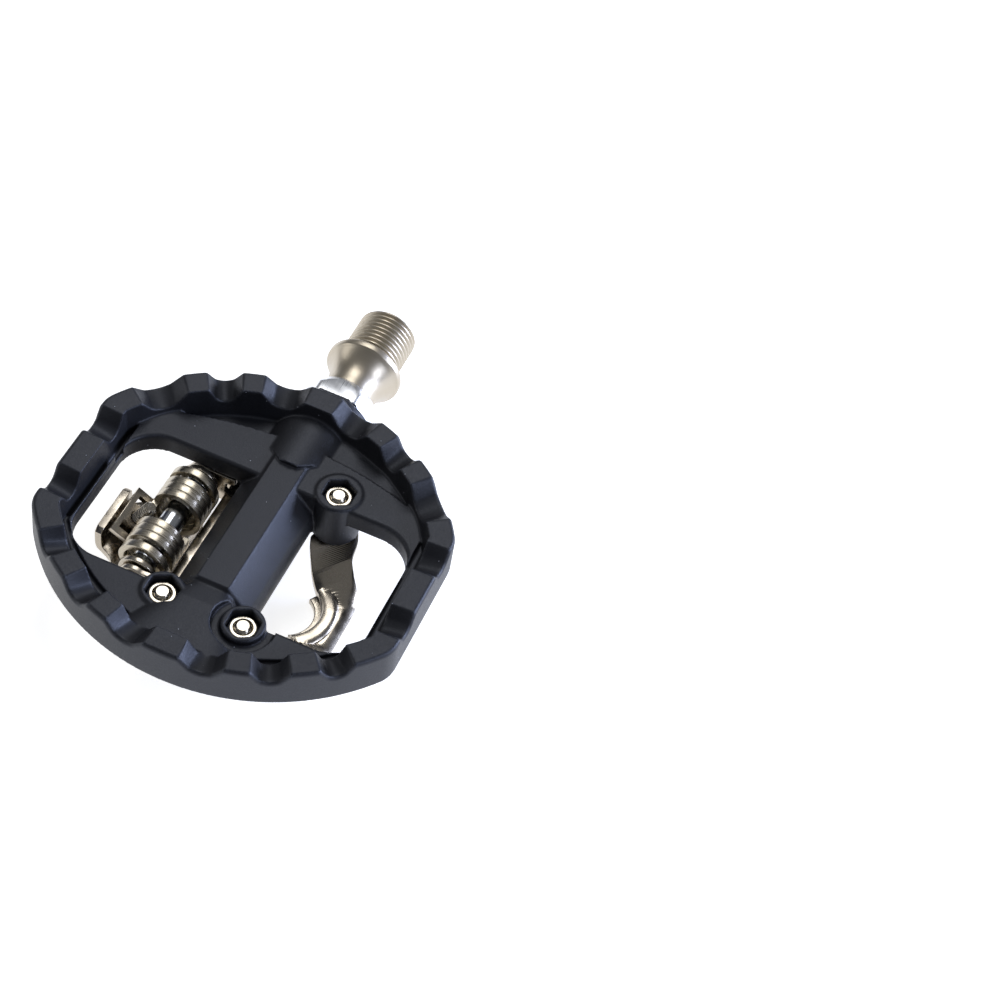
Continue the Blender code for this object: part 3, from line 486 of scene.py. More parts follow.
def thread_tree():
    """A threaded rod on the X axis: a grid rolled round the axis, its radius following the helix."""
    tree, given = begin_tree("helical_thread", ("Radius", "Depth", "Pitch", "Start", "End", "Chamfer",
                                                "Count Around", "Count Along"))
    grid = node(tree, "GeometryNodeMeshGrid", {"Size X": 1.0, "Size Y": 1.0},
                {"Vertices X": given["Count Around"], "Vertices Y": given["Count Along"]})
    place = node(tree, "GeometryNodeInputPosition").outputs[0]
    split = node(tree, "ShaderNodeSeparateXYZ", None, {0: place})
    share = sum_of(tree, "ADD", split.outputs["X"], 0.5)
    rows = sum_of(tree, "SUBTRACT", given["Count Along"], 1.0)
    inner_rows = sum_of(tree, "SUBTRACT", rows, 2.0)
    along = sum_of(tree, "ADD", split.outputs["Y"], 0.5)
    along = sum_of(tree, "MULTIPLY", along, rows)
    along = sum_of(tree, "SUBTRACT", along, 1.0)
    along = sum_of(tree, "DIVIDE", along, inner_rows)
    held = node(tree, "ShaderNodeClamp", None, {"Value": along}).outputs[0]
    length = sum_of(tree, "SUBTRACT", given["End"], given["Start"])
    distance = sum_of(tree, "MULTIPLY", held, length)
    x = sum_of(tree, "ADD", distance, given["Start"])
    turns = sum_of(tree, "SUBTRACT", sum_of(tree, "DIVIDE", x, given["Pitch"]), share)
    wave = sum_of(tree, "PINGPONG", turns, 0.5)
    steepness, crest_flat = 2.6, 0.3
    wave = sum_of(tree, "MULTIPLY", wave, steepness)
    wave = sum_of(tree, "SUBTRACT", wave, crest_flat)
    wave = node(tree, "ShaderNodeClamp", None, {"Value": wave}).outputs[0]
    low = sum_of(tree, "SUBTRACT", given["Radius"], sum_of(tree, "MULTIPLY", wave, given["Depth"]))
    lead = sum_of(tree, "ADD", sum_of(tree, "SUBTRACT", given["Radius"], given["Chamfer"]), distance)
    radius = sum_of(tree, "MINIMUM", low, lead)
    off_middle = sum_of(tree, "ABSOLUTE", sum_of(tree, "SUBTRACT", along, 0.5), 0.0)
    limit = sum_of(tree, "ADD", 0.5, sum_of(tree, "DIVIDE", 0.5, inner_rows))
    inside = sum_of(tree, "LESS_THAN", off_middle, limit)
    radius = sum_of(tree, "MULTIPLY", radius, inside)
    angle = sum_of(tree, "MULTIPLY", share, math.tau)
    y = sum_of(tree, "MULTIPLY", radius, sum_of(tree, "COSINE", angle, 0.0))
    z = sum_of(tree, "MULTIPLY", radius, sum_of(tree, "SINE", angle, 0.0))
    point = node(tree, "ShaderNodeCombineXYZ", None, {"X": x, "Y": y, "Z": z}).outputs[0]
    rolled = node(tree, "GeometryNodeSetPosition", None,
                  {"Geometry": grid.outputs["Mesh"], "Position": point})
    closed = node(tree, "GeometryNodeMergeByDistance", {"Distance": 1e-6}, {"Geometry": rolled.outputs[0]})
    return end_tree(tree, given, closed.outputs[0])


def coil_tree():
    """A flat-wire torsion spring on the X axis: close turns, then the end turn stands off."""
    tree, given = begin_tree("flat_wire_coil", ("Turns", "Mean Radius", "Length", "Stand Off", "Wire Width",
                                                "Wire Depth", "Edge Round", "Count Per Turn"))
    spiral = node(tree, "GeometryNodeCurveSpiral", None,
                  {"Resolution": given["Count Per Turn"], "Rotations": given["Turns"],
                   "Start Radius": given["Mean Radius"], "End Radius": given["Mean Radius"],
                   "Height": given["Length"]})
    share = node(tree, "GeometryNodeSplineParameter").outputs["Factor"]
    stand_off_from, stand_off_to = 0.68, 0.84
    ease = node(tree, "ShaderNodeMapRange", {"From Min": stand_off_from, "From Max": stand_off_to},
                {"Value": share}, interpolation_type="SMOOTHSTEP").outputs["Result"]
    lift = sum_of(tree, "MULTIPLY", ease, given["Stand Off"])
    shift = node(tree, "ShaderNodeCombineXYZ", None, {"Z": lift}).outputs[0]
    path = node(tree, "GeometryNodeSetPosition", None,
                {"Geometry": spiral.outputs["Curve"], "Offset": shift})
    upright = node(tree, "GeometryNodeSetCurveNormal", None, {"Curve": path.outputs[0]}, mode="Z_UP")
    wire = node(tree, "GeometryNodeCurvePrimitiveQuadrilateral", None,
                {"Width": given["Wire Depth"], "Height": given["Wire Width"]})
    soft = node(tree, "GeometryNodeFilletCurve", {"Count": 3}, {"Curve": wire.outputs["Curve"],
                "Radius": given["Edge Round"]}, mode="POLY")
    swept = node(tree, "GeometryNodeCurveToMesh", {"Fill Caps": True},
                 {"Curve": upright.outputs[0], "Profile Curve": soft.outputs[0]})
    laid = node(tree, "GeometryNodeTransform", {"Rotation": (0, math.pi / 2, 0)},
                {"Geometry": swept.outputs["Mesh"]})
    return end_tree(tree, given, laid.outputs["Geometry"])


# ---------------------------------------------------------------- cage

def cage_corner(arc_centre, arc_radius, side):
    across = CAGE_HALF_LENGTH - CAGE_CORNER_R
    reach = arc_radius - CAGE_CORNER_R
    centre_x = arc_centre + side * math.sqrt(reach ** 2 - across ** 2)
    return centre_x, across, math.degrees(math.atan2(across, abs(centre_x - arc_centre)))


def cage_outline(inset, count=48):
    """The cage's closed outline from above, set in by inset, anticlockwise."""
    quarters = []
    for side in (1, -1):
        arc_centre, arc_radius = OUTBOARD_ARC if side > 0 else INBOARD_ARC
        corner_x, corner_y, meet = cage_corner(arc_centre, arc_radius, side)
        bend = arc((0, corner_y), CAGE_CORNER_R - inset, 90, meet, 12)
        sweep = arc((0, 0), arc_radius - inset, meet, 0, count)[1:]
        quarters.append([(corner_x + side * x, y) for x, y in bend]
                        + [(arc_centre + side * x, y) for x, y in sweep])
    front = quarters[0][::-1] + quarters[1]
    back = [(x, -y) for x, y in front[::-1]][1:-1]
    return [(BODY_X + x, y) for x, y in front + back]


def rim_station(u, y):
    """Outline point moved onto the cage, with its inward normal."""
    corner_in = cage_corner(*INBOARD_ARC, -1)
    corner_out = cage_corner(*OUTBOARD_ARC, 1)
    ahead = 1 if y >= 0 else -1
    if corner_in[0] <= u <= corner_out[0] and abs(y) > CAGE_HALF_LENGTH - CAGE_CORNER_R:
        return Vector((u, ahead * CAGE_HALF_LENGTH)), Vector((0, -ahead))
    corner_x, corner_y, meet = corner_out if u > 0 else corner_in
    arc_centre, arc_radius = OUTBOARD_ARC if u > 0 else INBOARD_ARC
    angle = math.degrees(math.atan2(abs(y), abs(u - arc_centre)))
    if angle > meet:
        centre = Vector((corner_x, ahead * corner_y))
        outward = (Vector((u, y)) - centre).normalized()
        return centre + CAGE_CORNER_R * outward, -outward
    centre = Vector((arc_centre, 0))
    outward = (Vector((u, y)) - centre).normalized()
    return centre + arc_radius * outward, -outward


def side_run(side, y_start, y_end, steps):
    arc_centre, arc_radius = OUTBOARD_ARC if side > 0 else INBOARD_ARC
    start = math.asin(y_start / arc_radius)
    end = math.asin(y_end / arc_radius)
    angles = [start + (end - start) * i / steps for i in range(steps)]
    return [(arc_centre + side * arc_radius * math.cos(a), arc_radius * math.sin(a)) for a in angles]


def corner_run(side, y_start, u_end, steps):
    corner_x, corner_y, meet = cage_corner(*(OUTBOARD_ARC if side > 0 else INBOARD_ARC), side)
    bend = arc((0, 0), CAGE_CORNER_R, meet, 90, 10)
    points = side_run(side, y_start, CAGE_CORNER_R * math.sin(math.radians(meet)) + corner_y, steps)
    points += [(corner_x + side * x, corner_y + y) for x, y in bend]
    last_u = points[-1][0]
    points += [(last_u + (u_end - last_u) * i / steps, CAGE_HALF_LENGTH) for i in range(1, steps)]
    return points


PAD_STEPS = 5
SCOOP_STEPS = 16


def scoop(points):
    """Heights of a valley between two pads: a slope at both ends and a hollow floor between."""
    out = []
    slope, drop = 0.24, 0.8  # share of the valley's length, and of its depth
    for i, (u, y) in enumerate(points):
        t = i / len(points)
        end = min(t, 1 - t)
        if end < slope:
            depth = drop * end / slope
        else:
            depth = drop + (1 - drop) * math.sin(math.pi * (t - slope) / (1 - 2 * slope))
        out.append((u, y, TOOTH_TOP - TOOTH_DEPTH * depth))
    return out


def pad(points):
    return [(u, y, TOOTH_TOP) for u, y in points]


def front_stations():
    """(u, y, height) round the front half, from the outboard middle to the inboard middle."""
    def end_points(u_start, u_end, steps):
        return [(u_start + (u_end - u_start) * i / steps, CAGE_HALF_LENGTH) for i in range(steps)]

    def half_side(side, pads, corner_pad):
        run = pad(side_run(side, 0.0, pads[0][1], PAD_STEPS))
        for before, after in zip(pads, pads[1:]):
            run += scoop(side_run(side, before[1], after[0], SCOOP_STEPS))
            run += pad(side_run(side, after[0], after[1], PAD_STEPS))
        run += scoop(side_run(side, pads[-1][1], corner_pad[0], SCOOP_STEPS))
        return run + pad(corner_run(side, corner_pad[0], corner_pad[1], PAD_STEPS))

    out = half_side(1, OUTBOARD_PADS, OUTBOARD_CORNER_PAD)
    out += scoop(end_points(OUTBOARD_CORNER_PAD[1], END_PAD[1], SCOOP_STEPS))
    out += pad(end_points(END_PAD[1], END_PAD[0], PAD_STEPS))
    out += scoop(end_points(END_PAD[0], INBOARD_CORNER_PAD[1], SCOOP_STEPS))
    out += [(INBOARD_CORNER_PAD[1], CAGE_HALF_LENGTH, TOOTH_TOP)]
    return out + half_side(-1, INBOARD_PADS, INBOARD_CORNER_PAD)[::-1]


def cage_rim():
    """The toothed rim as one closed loft; its top leans inwards, more so in the valleys."""
    chamfer, side_break = 0.5, 0.7
    crown_inset, crown_fall, valley_fall = 5.7, 0.3, 1.0
    front = front_stations()
    stations = front + [(u, -y, height) for u, y, height in front[-2:0:-1]]
    rings = []
    for u, y, height in stations:
        point, inward = rim_station(u, y)
        hollow = (TOOTH_TOP - height) / TOOTH_DEPTH
        section = ((side_break, CAGE_BOTTOM), (0.0, CAGE_BOTTOM + 0.8), (0.0, height - side_break),
                   (chamfer, height), (crown_inset, height - crown_fall - valley_fall * hollow),
                   (RIM_WIDTH, GROOVE_FLOOR + 0.6), (RIM_WIDTH, CAGE_BOTTOM))
        ring = []
        for inset, z in section:
            place = point + inset * inward
            ring.append((BODY_X + place.x, place.y, z))
        rings.append(ring)
    return loft(rings, closed_path=True)


def plateau_outline():
    """Beside the groove round three sides, and one long arc on the crank side."""
    groove_width = 1.2
    side_centre, side_radius, side_angle = BODY_X + 62.0, 88.7, 22.5
    edge = [(u, y) for u, y in cage_outline(RIM_WIDTH + groove_width) if u - BODY_X > -12.0]
    edge.sort(key=lambda point: math.atan2(point[1], point[0] - BODY_X))
    side = arc((0, 0), side_radius, side_angle, -side_angle, 13)
    return edge + [(side_centre - x, y) for x, y in side]


def window_outline(ahead, grow=0.0):
    radius = WINDOW_CORNER_R + grow
    centre_y = WINDOW_END - WINDOW_CORNER_R
    outboard = arc((WINDOW_OUTBOARD - WINDOW_CORNER_R, centre_y), radius, 0, 90, 16)
    inboard = arc((WINDOW_INBOARD + WINDOW_CORNER_R, centre_y), radius, 90, 180, 16)
    near = 1.0  # hidden under the tube
    points = [(WINDOW_OUTBOARD + grow, near)] + outboard + inboard + [(WINDOW_INBOARD - grow, near)]
    return [(BODY_X + u, ahead * y) for u, y in points]


def window_cutter(ahead):
    """Straight through the web, flared where it meets the top so that the edge comes out round."""
    stops = ((-1.0, 0.0), (WEB_TOP - 0.8, 0.0), (WEB_TOP - 0.35, 0.1), (WEB_TOP - 0.1, 0.35),
             (WEB_TOP, 0.8), (20.0, 0.9))
    return loft([[(x, y, z) for x, y in window_outline(ahead, grow)] for z, grow in stops])


def tube_ring(x, radius):
    """Round below, with a flat top and a plane flank from the flat down to the shoulder."""
    top = TUBE_TOP / TUBE_R * radius
    shoulder = math.degrees(math.asin(0.42))
    below = arc((0, 0), radius, shoulder, -180 - shoulder, 73)
    points = [(TUBE_FLAT, top)] + below + [(-TUBE_FLAT, top)]
    return [(x, y, z) for y, z in points]


def axle_tube():
    stops = ((INBOARD_FACE, TUBE_R), (BODY_X + 16.5, TUBE_R), (BODY_X + 19.2, 5.0),
             (BODY_X + 27.0, 4.6), (BODY_X + 29.5, 3.6), (BODY_X + 31.0, 1.6))
    return loft([tube_ring(x, radius) for x, radius in stops])


def collar_boss():
    """The larger boss at the crank end; its step runs straight over the top and back down the sides."""
    radius = TUBE_R + 1.2
    step = BODY_X - 19.3
    straight_half, sweep = 2.2, 0.95

    def ring(x, r, back=0.0):
        section = [(r * math.sin(a), r * math.cos(a) * TUBE_TOP / TUBE_R) for a in
                   [math.tau * i / 96 for i in range(96)]]
        return [(x - back * max(0.0, abs(y) - straight_half), y, z) for y, z in section]

    rings = [ring(INBOARD_FACE + 0.6, radius - 0.6), ring(INBOARD_FACE + 1.2, radius),
             ring(step, radius, sweep)]
    inner = [(x - 1.0, 0.5 * y, 0.5 * z) for x, y, z in rings[-1]]
    return loft(rings + [inner])


def outboard_boss():
    """The tube flares out into the outboard rim: squarish arches that widen and rise."""
    stops = ((16.4, 5.2, 8.8), (22.2, 9.1, 9.9), (28.2, 12.1, 10.3), (34.6, 15.4, 10.5))
    low = CAGE_BOTTOM - 1.37
    side_power, top_power = 0.55, 0.6
    rings = []
    for u, half_width, top in stops:
        angles = [math.pi * i / 47 for i in range(48)]
        bend = [(half_width * math.copysign(abs(math.cos(a)) ** side_power, math.cos(a)),
                 low + (top - low) * abs(math.sin(a)) ** top_power) for a in angles]
        rings.append([(BODY_X + u, y, z) for y, z in bend])
    return loft(rings)


def boss_column(label, radius, top):
    profile = ((BOSS_BOTTOM, 0), (BOSS_BOTTOM, radius - 0.3), (BOSS_BOTTOM + 0.3, radius),
               (top - 0.4, radius), (top, radius - 0.4), (top, 0))
    x, y = boss_centre(label)
    upright = Matrix.Translation((x, y, 0)) @ Matrix.Rotation(-math.pi / 2, 4, "Y")
    return move(turned(rounded(profile, 0.3), 64), upright)


def bolt_hole(label, low, high):
    return shell("hole", prism(circle(boss_centre(label), BOLT_R + GAP), low, high))


def mark_edges_for_wear_and_highlight(thing):
    """Store how proud each point stands of its neighbours, so the paint can be lightened there: partly paint
    wear, partly a painted highlight.
    """
    mesh = thing.data
    count = len(mesh.vertices)
    co = np.empty(count * 3)
    mesh.vertices.foreach_get("co", co)
    co = co.reshape(-1, 3)
    normal = np.empty(count * 3)
    mesh.vertex_normals.foreach_get("vector", normal)
    normal = normal.reshape(-1, 3)
    pairs = np.empty(len(mesh.edges) * 2, int)
    mesh.edges.foreach_get("vertices", pairs)
    first, second = pairs.reshape(-1, 2).T
    offset = co[second] - co[first]
    length = np.maximum(np.linalg.norm(offset, axis=1), 1e-9)
    bend = np.zeros(count)
    shared = np.zeros(count)
    np.add.at(bend, first, -(offset * normal[first]).sum(1) / length)
    np.add.at(bend, second, (offset * normal[second]).sum(1) / length)
    np.add.at(shared, first, 1)
    np.add.at(shared, second, 1)
    bend /= np.maximum(shared, 1)
    for _ in range(2):
        total = bend.copy()
        np.add.at(total, first, bend[second])
        np.add.at(total, second, bend[first])
        bend = total / (shared + 1)
    least_bend, full_bend = 0.05, 0.22
    value = np.clip((bend - least_bend) / (full_bend - least_bend), 0, 1)
    edge = mesh.attributes.new("edge", "FLOAT", "POINT")
    edge.data.foreach_set("value", value.astype(np.float32))


def pedal_body(look):
    """One casting: rim, floor, plateau, tube and bosses joined, drilled, then remeshed so that
    every inner corner has a small fillet and every edge is slightly soft."""
    grain_size, most_triangles = 0.3, 190000
    over = 20.0  # above everything
    body = shell("cage_casting", cage_rim())
    parts = [shell("floor", prism(cage_outline(RIM_WIDTH - 0.5), CAGE_BOTTOM + 0.3, GROOVE_FLOOR)),
             shell("plateau", prism(plateau_outline(), CAGE_BOTTOM + 0.1, WEB_TOP, edge=0.5))]
    ramp = [point for point in cage_outline(RIM_WIDTH - 0.5) if point[1] > 1.5 or point[0] > BODY_X + 5]
    parts.append(shell("ramp", prism(ramp, CAGE_BOTTOM + 0.2, WEB_TOP - 0.9)))
    combine(body, parts, "UNION")
    combine(body, [shell("window", window_cutter(1)), shell("window", window_cutter(-1))], "DIFFERENCE")
    combine(body, [shell("tube", axle_tube()), shell("boss", collar_boss()),
                   shell("flare", outboard_boss())], "UNION")
    recess = prism(circle(boss_centre("front_outboard"), 6.9), GROOVE_FLOOR + 1.3, over)
    combine(body, [shell("recess", recess)], "DIFFERENCE")
    columns = (("front_inboard", 5.4, BOSS_TOP), ("front_outboard", 4.8, BOSS_TOP),
               ("rear_outboard", 4.8, BOSS_TOP), ("rear_inboard", 4.0, WEB_TOP - 0.7))
    combine(body, [shell(label, boss_column(label, radius, top)) for label, radius, top in columns], "UNION")
    bore = turned(((INBOARD_FACE - 1, 0), (INBOARD_FACE - 1, COLLAR_BORE_R),
                   (INBOARD_FACE + COLLAR_BORE_DEPTH, COLLAR_BORE_R),
                   (INBOARD_FACE + COLLAR_BORE_DEPTH, BORE_R), (BORE_END - 1.5, BORE_R),
                   (BORE_END, BORE_R - 2.5), (BORE_END, 0)), 72)
    holes = [shell("bore", bore)]
    for label, _, _ in columns:
        top = WEB_TOP - 4 if label == "rear_inboard" else 12
        if label != "rear_inboard":
            pocket = prism(hexagon(boss_centre(label), NUT_FLATS + 0.8), NUT_BOTTOM - GAP, over)
            holes.append(shell("pocket", pocket))
        holes.append(bolt_hole(label, BOSS_BOTTOM - 1, top))
    combine(body, holes, "DIFFERENCE")
    remesh = body.modifiers.new("cast", "REMESH")
    remesh.mode = "VOXEL"
    remesh.voxel_size = grain_size * MM
    smooth = body.modifiers.new("soften", "SMOOTH")
    smooth.factor = 0.5
    smooth.iterations = 1
    settle(body)
    triangles = sum(len(face.vertices) - 2 for face in body.data.polygons)
    if triangles > most_triangles:
        fewer = body.modifiers.new("fewer", "DECIMATE")
        fewer.ratio = most_triangles / triangles
        settle(body)
    mark_edges_for_wear_and_highlight(body)
    dress(body, "pedal", look, ["pedal_body"], smooth_angle=0)


# ---------------------------------------------------------------- spindle

def spindle(thread, look):
    """Thread, undercut, shoulder flange, a bell that sweeps down to the neck, and the shaft."""
    tip = -THREAD_LENGTH
    socket_flats, socket_depth = 6.0, 8.0
    bell_start, bell_length, bell_rise, bell_power = 2.7, 6.3, 2.2, 2.2
    bell = [(bell_start + bell_length * i / 24, NECK_R + bell_rise * (1 - i / 24) ** bell_power)
            for i in range(25)]
    lip = rounded(((UNDERCUT, SEAT_R), (0, SEAT_R), (0, FLANGE_R - 0.3), (0.4, FLANGE_R), (1.8, FLANGE_R),
                   (2.3, FLANGE_R - 0.5), bell[0]), 0.3)[1:-1]
    rest = rounded((bell[-1], (28.0, NECK_R), (28.3, NECK_R - 0.3), (42.0, NECK_R - 0.3), (46.0, 4.7),
                    (65.2, 4.7), (65.2, 3.9), (78.2, 3.9), (79.0, 3.1), (79.0, 0)), 0.2)[1:]
    profile = ([(-2.4, 0), (-2.4, THREAD_R - 1.2), (-1.2, NECK_R), (UNDERCUT, NECK_R), (UNDERCUT, SEAT_R)]
               + lip + bell + rest)
    shaft = shell("spindle_shaft", turned(profile, 128))
    sizes = {"Radius": THREAD_R * MM, "Depth": 0.72 * MM, "Pitch": THREAD_PITCH * MM, "Start": tip * MM,
             "End": -1.5 * MM, "Chamfer": 1.1 * MM, "Count Around": 97, "Count Along": 170}
    screw = grown("spindle_thread", thread, sizes, look)
    combine(shaft, [screw], "UNION")
    socket = prism(hexagon((0, 0), socket_flats), tip - 1, tip + socket_depth, axis="X")
    combine(shaft, [shell("socket", socket)], "DIFFERENCE")
    dress(shaft, "axle", look, ["spindle"])


def axle_collar(look):
    """Domed hexagon with a sleeve that goes into the tube's mouth."""
    across_flats = 17.0
    face = INBOARD_FACE - GAP
    sleeve_end = face + COLLAR_BORE_DEPTH - 0.4
    dome = rounded(((face - 6.6, NECK_R + 0.35), (face - 6.6, 7.3), (face - 6.2, 7.9), (face - 4.4, 8.9),
                    (face - 3.0, 9.6), (face, 9.6), (face, COLLAR_BORE_R - GAP)), 0.4)
    outline = dome + [(sleeve_end, COLLAR_BORE_R - GAP), (sleeve_end, NECK_R + 0.35)]
    collar = shell("lock_collar", turned(outline, 144, solid=False))
    flats = prism(hexagon((0, 0), across_flats), face - 8, face + 20, axis="X")
    combine(collar, [shell("flats", flats)], "INTERSECT")
    dress(collar, "pedal", look, ["axle_collar"])


# ---------------------------------------------------------------- fasteners

def binding_bolt(label, end, thread, look):
    """Socket button head under the plate, threaded shank up to end."""
    head_r, head_height, key_flats, key_depth = 3.2, 3.2, 2.5, 1.4
    x, y = boss_centre(label)
    upright = Matrix.Translation((x, y, 0)) @ Matrix.Rotation(-math.pi / 2, 4, "Y")
    head_top = FOOT_BOTTOM - 0.15
    profile = rounded(((head_top - head_height, 0), (head_top - head_height, head_r), (head_top, head_r),
                       (head_top, BOLT_R - 0.1), (head_top + 1.5, BOLT_R - 0.1), (head_top + 1.5, 0)), 0.5)
    head = shell("binding_bolt_" + label, move(turned(profile, 64), upright))
    sizes = {"Radius": BOLT_R * MM, "Depth": 0.33 * MM, "Pitch": BOLT_PITCH * MM, "Start": -end * MM,
             "End": -(head_top + 1) * MM, "Chamfer": 0.45 * MM, "Count Around": 49, "Count Along": 130}
    shank = grown("shank", thread, sizes, look)
    flip = Matrix.Translation((x * MM, y * MM, 0)) @ Matrix.Rotation(math.pi / 2, 4, "Y")
    shank.data.transform(flip)
    combine(head, [shank], "UNION")
    key = prism(hexagon((x, y), key_flats), -20, head_top - key_depth)
    combine(head, [shell("key", key)], "DIFFERENCE")
    dress(head, "pedal", look, ["bolt_" + label])


def binding_nut(label, look):
    centre = boss_centre(label)
    nut = shell("binding_nut_" + label, prism(hexagon(centre, NUT_FLATS), NUT_BOTTOM, NUT_TOP))
    upright = Matrix.Translation((*centre, NUT_BOTTOM)) @ Matrix.Rotation(-math.pi / 2, 4, "Y")
    height = NUT_TOP - NUT_BOTTOM
    cone = rounded(((0, 0), (0, 2.9), (0.45, 3.42), (height - 0.45, 3.42), (height, 2.8), (height, 0)), 0.2)
    combine(nut, [shell("chamfer", move(turned(cone, 64), upright))], "INTERSECT")
    bore = rounded(((-1, 0), (-1, 2.3), (0.4, BOLT_R + 0.12), (height - 0.35, BOLT_R + 0.12),
                    (height + 0.3, 2.5), (height + 1, 2.5), (height + 1, 0)), 0.1)
    combine(nut, [shell("bore", move(turned(bore, 64), upright))], "DIFFERENCE")
    dress(nut, "pedal", look, ["nut_" + label])


# ---------------------------------------------------------------- cleat binding

def smooth_path(points, steps):
    """Catmull-Rom curve through a list of equal-length number rows."""
    out = []
    last = len(points) - 1
    for i in range(last):
        rows = [np.array(points[max(0, min(last, j))], float) for j in (i - 1, i, i + 1, i + 2)]
        for k in range(steps):
            t = k / steps
            out.append(0.5 * (2 * rows[1] + (rows[2] - rows[0]) * t
                              + (2 * rows[0] - 5 * rows[1] + 4 * rows[2] - rows[3]) * t ** 2
                              + (3 * rows[1] - rows[0] - 3 * rows[2] + rows[3]) * t ** 3))
    out.append(np.array(points[last], float))
    return out


BEVEL_SLOPE = 0.6


def plate_from_rows(rows, thickness, edge, bevels=None):
    """A bent plate with rounded edges: each row is (left, right, normal). bevels give the width of
    the sloping facet along the left edge, row by row."""
    rings = []
    for i, (left, right, normal) in enumerate(rows):
        left, right, normal = Vector(left), Vector(right), Vector(normal).normalized()
        across = (right - left).normalized()
        width = (right - left).length
        corners = ((edge, -edge, 180, 90), (width - edge, -edge, 90, 0),
                   (width - edge, edge - thickness, 0, -90), (edge, edge - thickness, -90, -180))
        ring = []
        for a, d, start, end in corners:
            for p, q in arc((a, d), edge, start, end, 4):
                if bevels and p < bevels[i]:
                    q = min(q, BEVEL_SLOPE * (p - bevels[i]))
                ring.append(tuple(left + across * p + normal * q))
        if bevels:
            ring.insert(4, tuple(left + across * bevels[i]))
        rings.append(ring)
    return loft(rings)


def front_catch(look):
    """U-shaped strip: two feet under the front bosses, arms that drop forward to a cross bar with a
    bevelled front edge, a raised crescent on the bar and a lip under it."""
    inner_centre = Vector((BODY_X + 2.2, 11.4))
    hook_top = -9.4
    outer = ((-25.4, 11.5), (-24.0, 16.4), (-19.9, 19.0), (-14.8, 20.0), (-12.2, 21.6), (-9.2, 24.2),
             (-5.2, 24.9), (0.0, 24.9))
    inner = ((-15.6, 9.3), (-13.9, 10.0), (-11.8, 11.3), (-9.4, 13.0), (-7.4, 14.8), (-5.5, 16.7),
             (-3.0, 18.3), (0.0, 19.0))
    sketch = [(*a, *b) for a, b in zip(outer, inner)]
    sketch += [(-a, b, -c, d) for a, b, c, d in sketch[-2::-1]]

    def drop(reach):
        t = max(0.0, min(1.0, (15.2 - abs(reach)) / 9.0))
        return FOOT_TOP + (hook_top - FOOT_TOP) * t * t * (3 - 2 * t)

    rows, bevels = [], []
    for a, b, c, d in smooth_path(sketch, 9):
        rows.append(((inner_centre.x + a, b, drop(a)), (inner_centre.x + c, d, drop(c)), (0, 0, 1)))
        bevels.append(0.35 + 1.5 * max(0.0, min(1.0, (13.0 - abs(a)) / 4.0)))
    claw = shell("front_claw", plate_from_rows(rows, PLATE, 0.3, bevels))

    def crescent(far, near, half_angle):
        low, high = 90 - half_angle, 90 + half_angle
        return arc(inner_centre, far, high, low, 25) + arc(inner_centre, near, low, high, 25)

    labels = ("front_inboard", "front_outboard")
    feet = [shell("foot", prism(circle(boss_centre(label), 4.2), FOOT_BOTTOM, FOOT_TOP, edge=0.3))
            for label in labels]
    lip = prism(crescent(11.0, 6.2, 60), hook_top - PLATE - 1.4, hook_top - PLATE + 0.4, edge=0.25)
    levels = ((-0.5, 7.8, 11.5), (0.4, 7.8, 11.4), (0.8, 8.1, 11.0), (1.0, 8.8, 10.3))
    rib = loft([[(x, y, hook_top + rise) for x, y in crescent(far, near, 57)] for rise, near, far in levels])
    combine(claw, feet + [shell("lip", lip), shell("rib", rib)], "UNION")
    combine(claw, [bolt_hole(label, -14, 0) for label in labels], "DIFFERENCE")
    dress(claw, "pedal", look, ["front_catch"])


def along_pin(bm):
    return move(bm, Matrix.Translation((0, PIN_Y, PIN_Z)))


def pivot_cutter(radius):
    profile = ((BODY_X - 30, 0), (BODY_X - 30, radius), (BODY_X + 30, radius), (BODY_X + 30, 0))
    return shell("pivot", along_pin(turned(profile, 64)))


def rear_bracket(look):
    """Strip under the two rear bosses, with an ear at each end that holds the hinge pin."""
    low_x, high_x = BODY_X + BOSSES["rear_inboard"][0], BODY_X + BOSSES["rear_outboard"][0]
    strip = [(low_x, -12.8), (high_x - 2.5, -12.8), (high_x, -11.0), (high_x, -9.6), (low_x, -9.6)]
    bracket = shell("pivot_bracket", prism(strip, FOOT_BOTTOM, FOOT_TOP, edge=0.3))
    parts = [shell("foot", prism(circle(boss_centre(label), radius), FOOT_BOTTOM, FOOT_TOP, edge=0.3))
             for label, radius in (("rear_inboard", 3.7), ("rear_outboard", 4.5))]
    low = FOOT_BOTTOM + 0.2
    leg = [(-21.6, -1.6), (-20.0, -3.0), (-13.8, low), (-10.4, low), (-10.4, -3.6), (-12.6, -1.5),
           (-12.4, 0.8), (-10.2, 1.6), (-10.2, 3.2), (-13.4, 3.2)]
    outline = arc((PIN_Y, PIN_Z), 3.7, 60, 180, 25) + leg
    for x in (MECHANISM_X - 16.8, MECHANISM_X + 15.4):
        parts.append(shell("ear", prism(outline, x, x + 1.4, axis="X", edge=0.25)))
    combine(bracket, parts, "UNION")
    holes = [pivot_cutter(PIN_R + 0.2)]
    holes += [bolt_hole(label, -14, 0) for label in ("rear_inboard", "rear_outboard")]
    combine(bracket, holes, "DIFFERENCE")
    dress(bracket, "pedal", look, ["rear_bracket"])


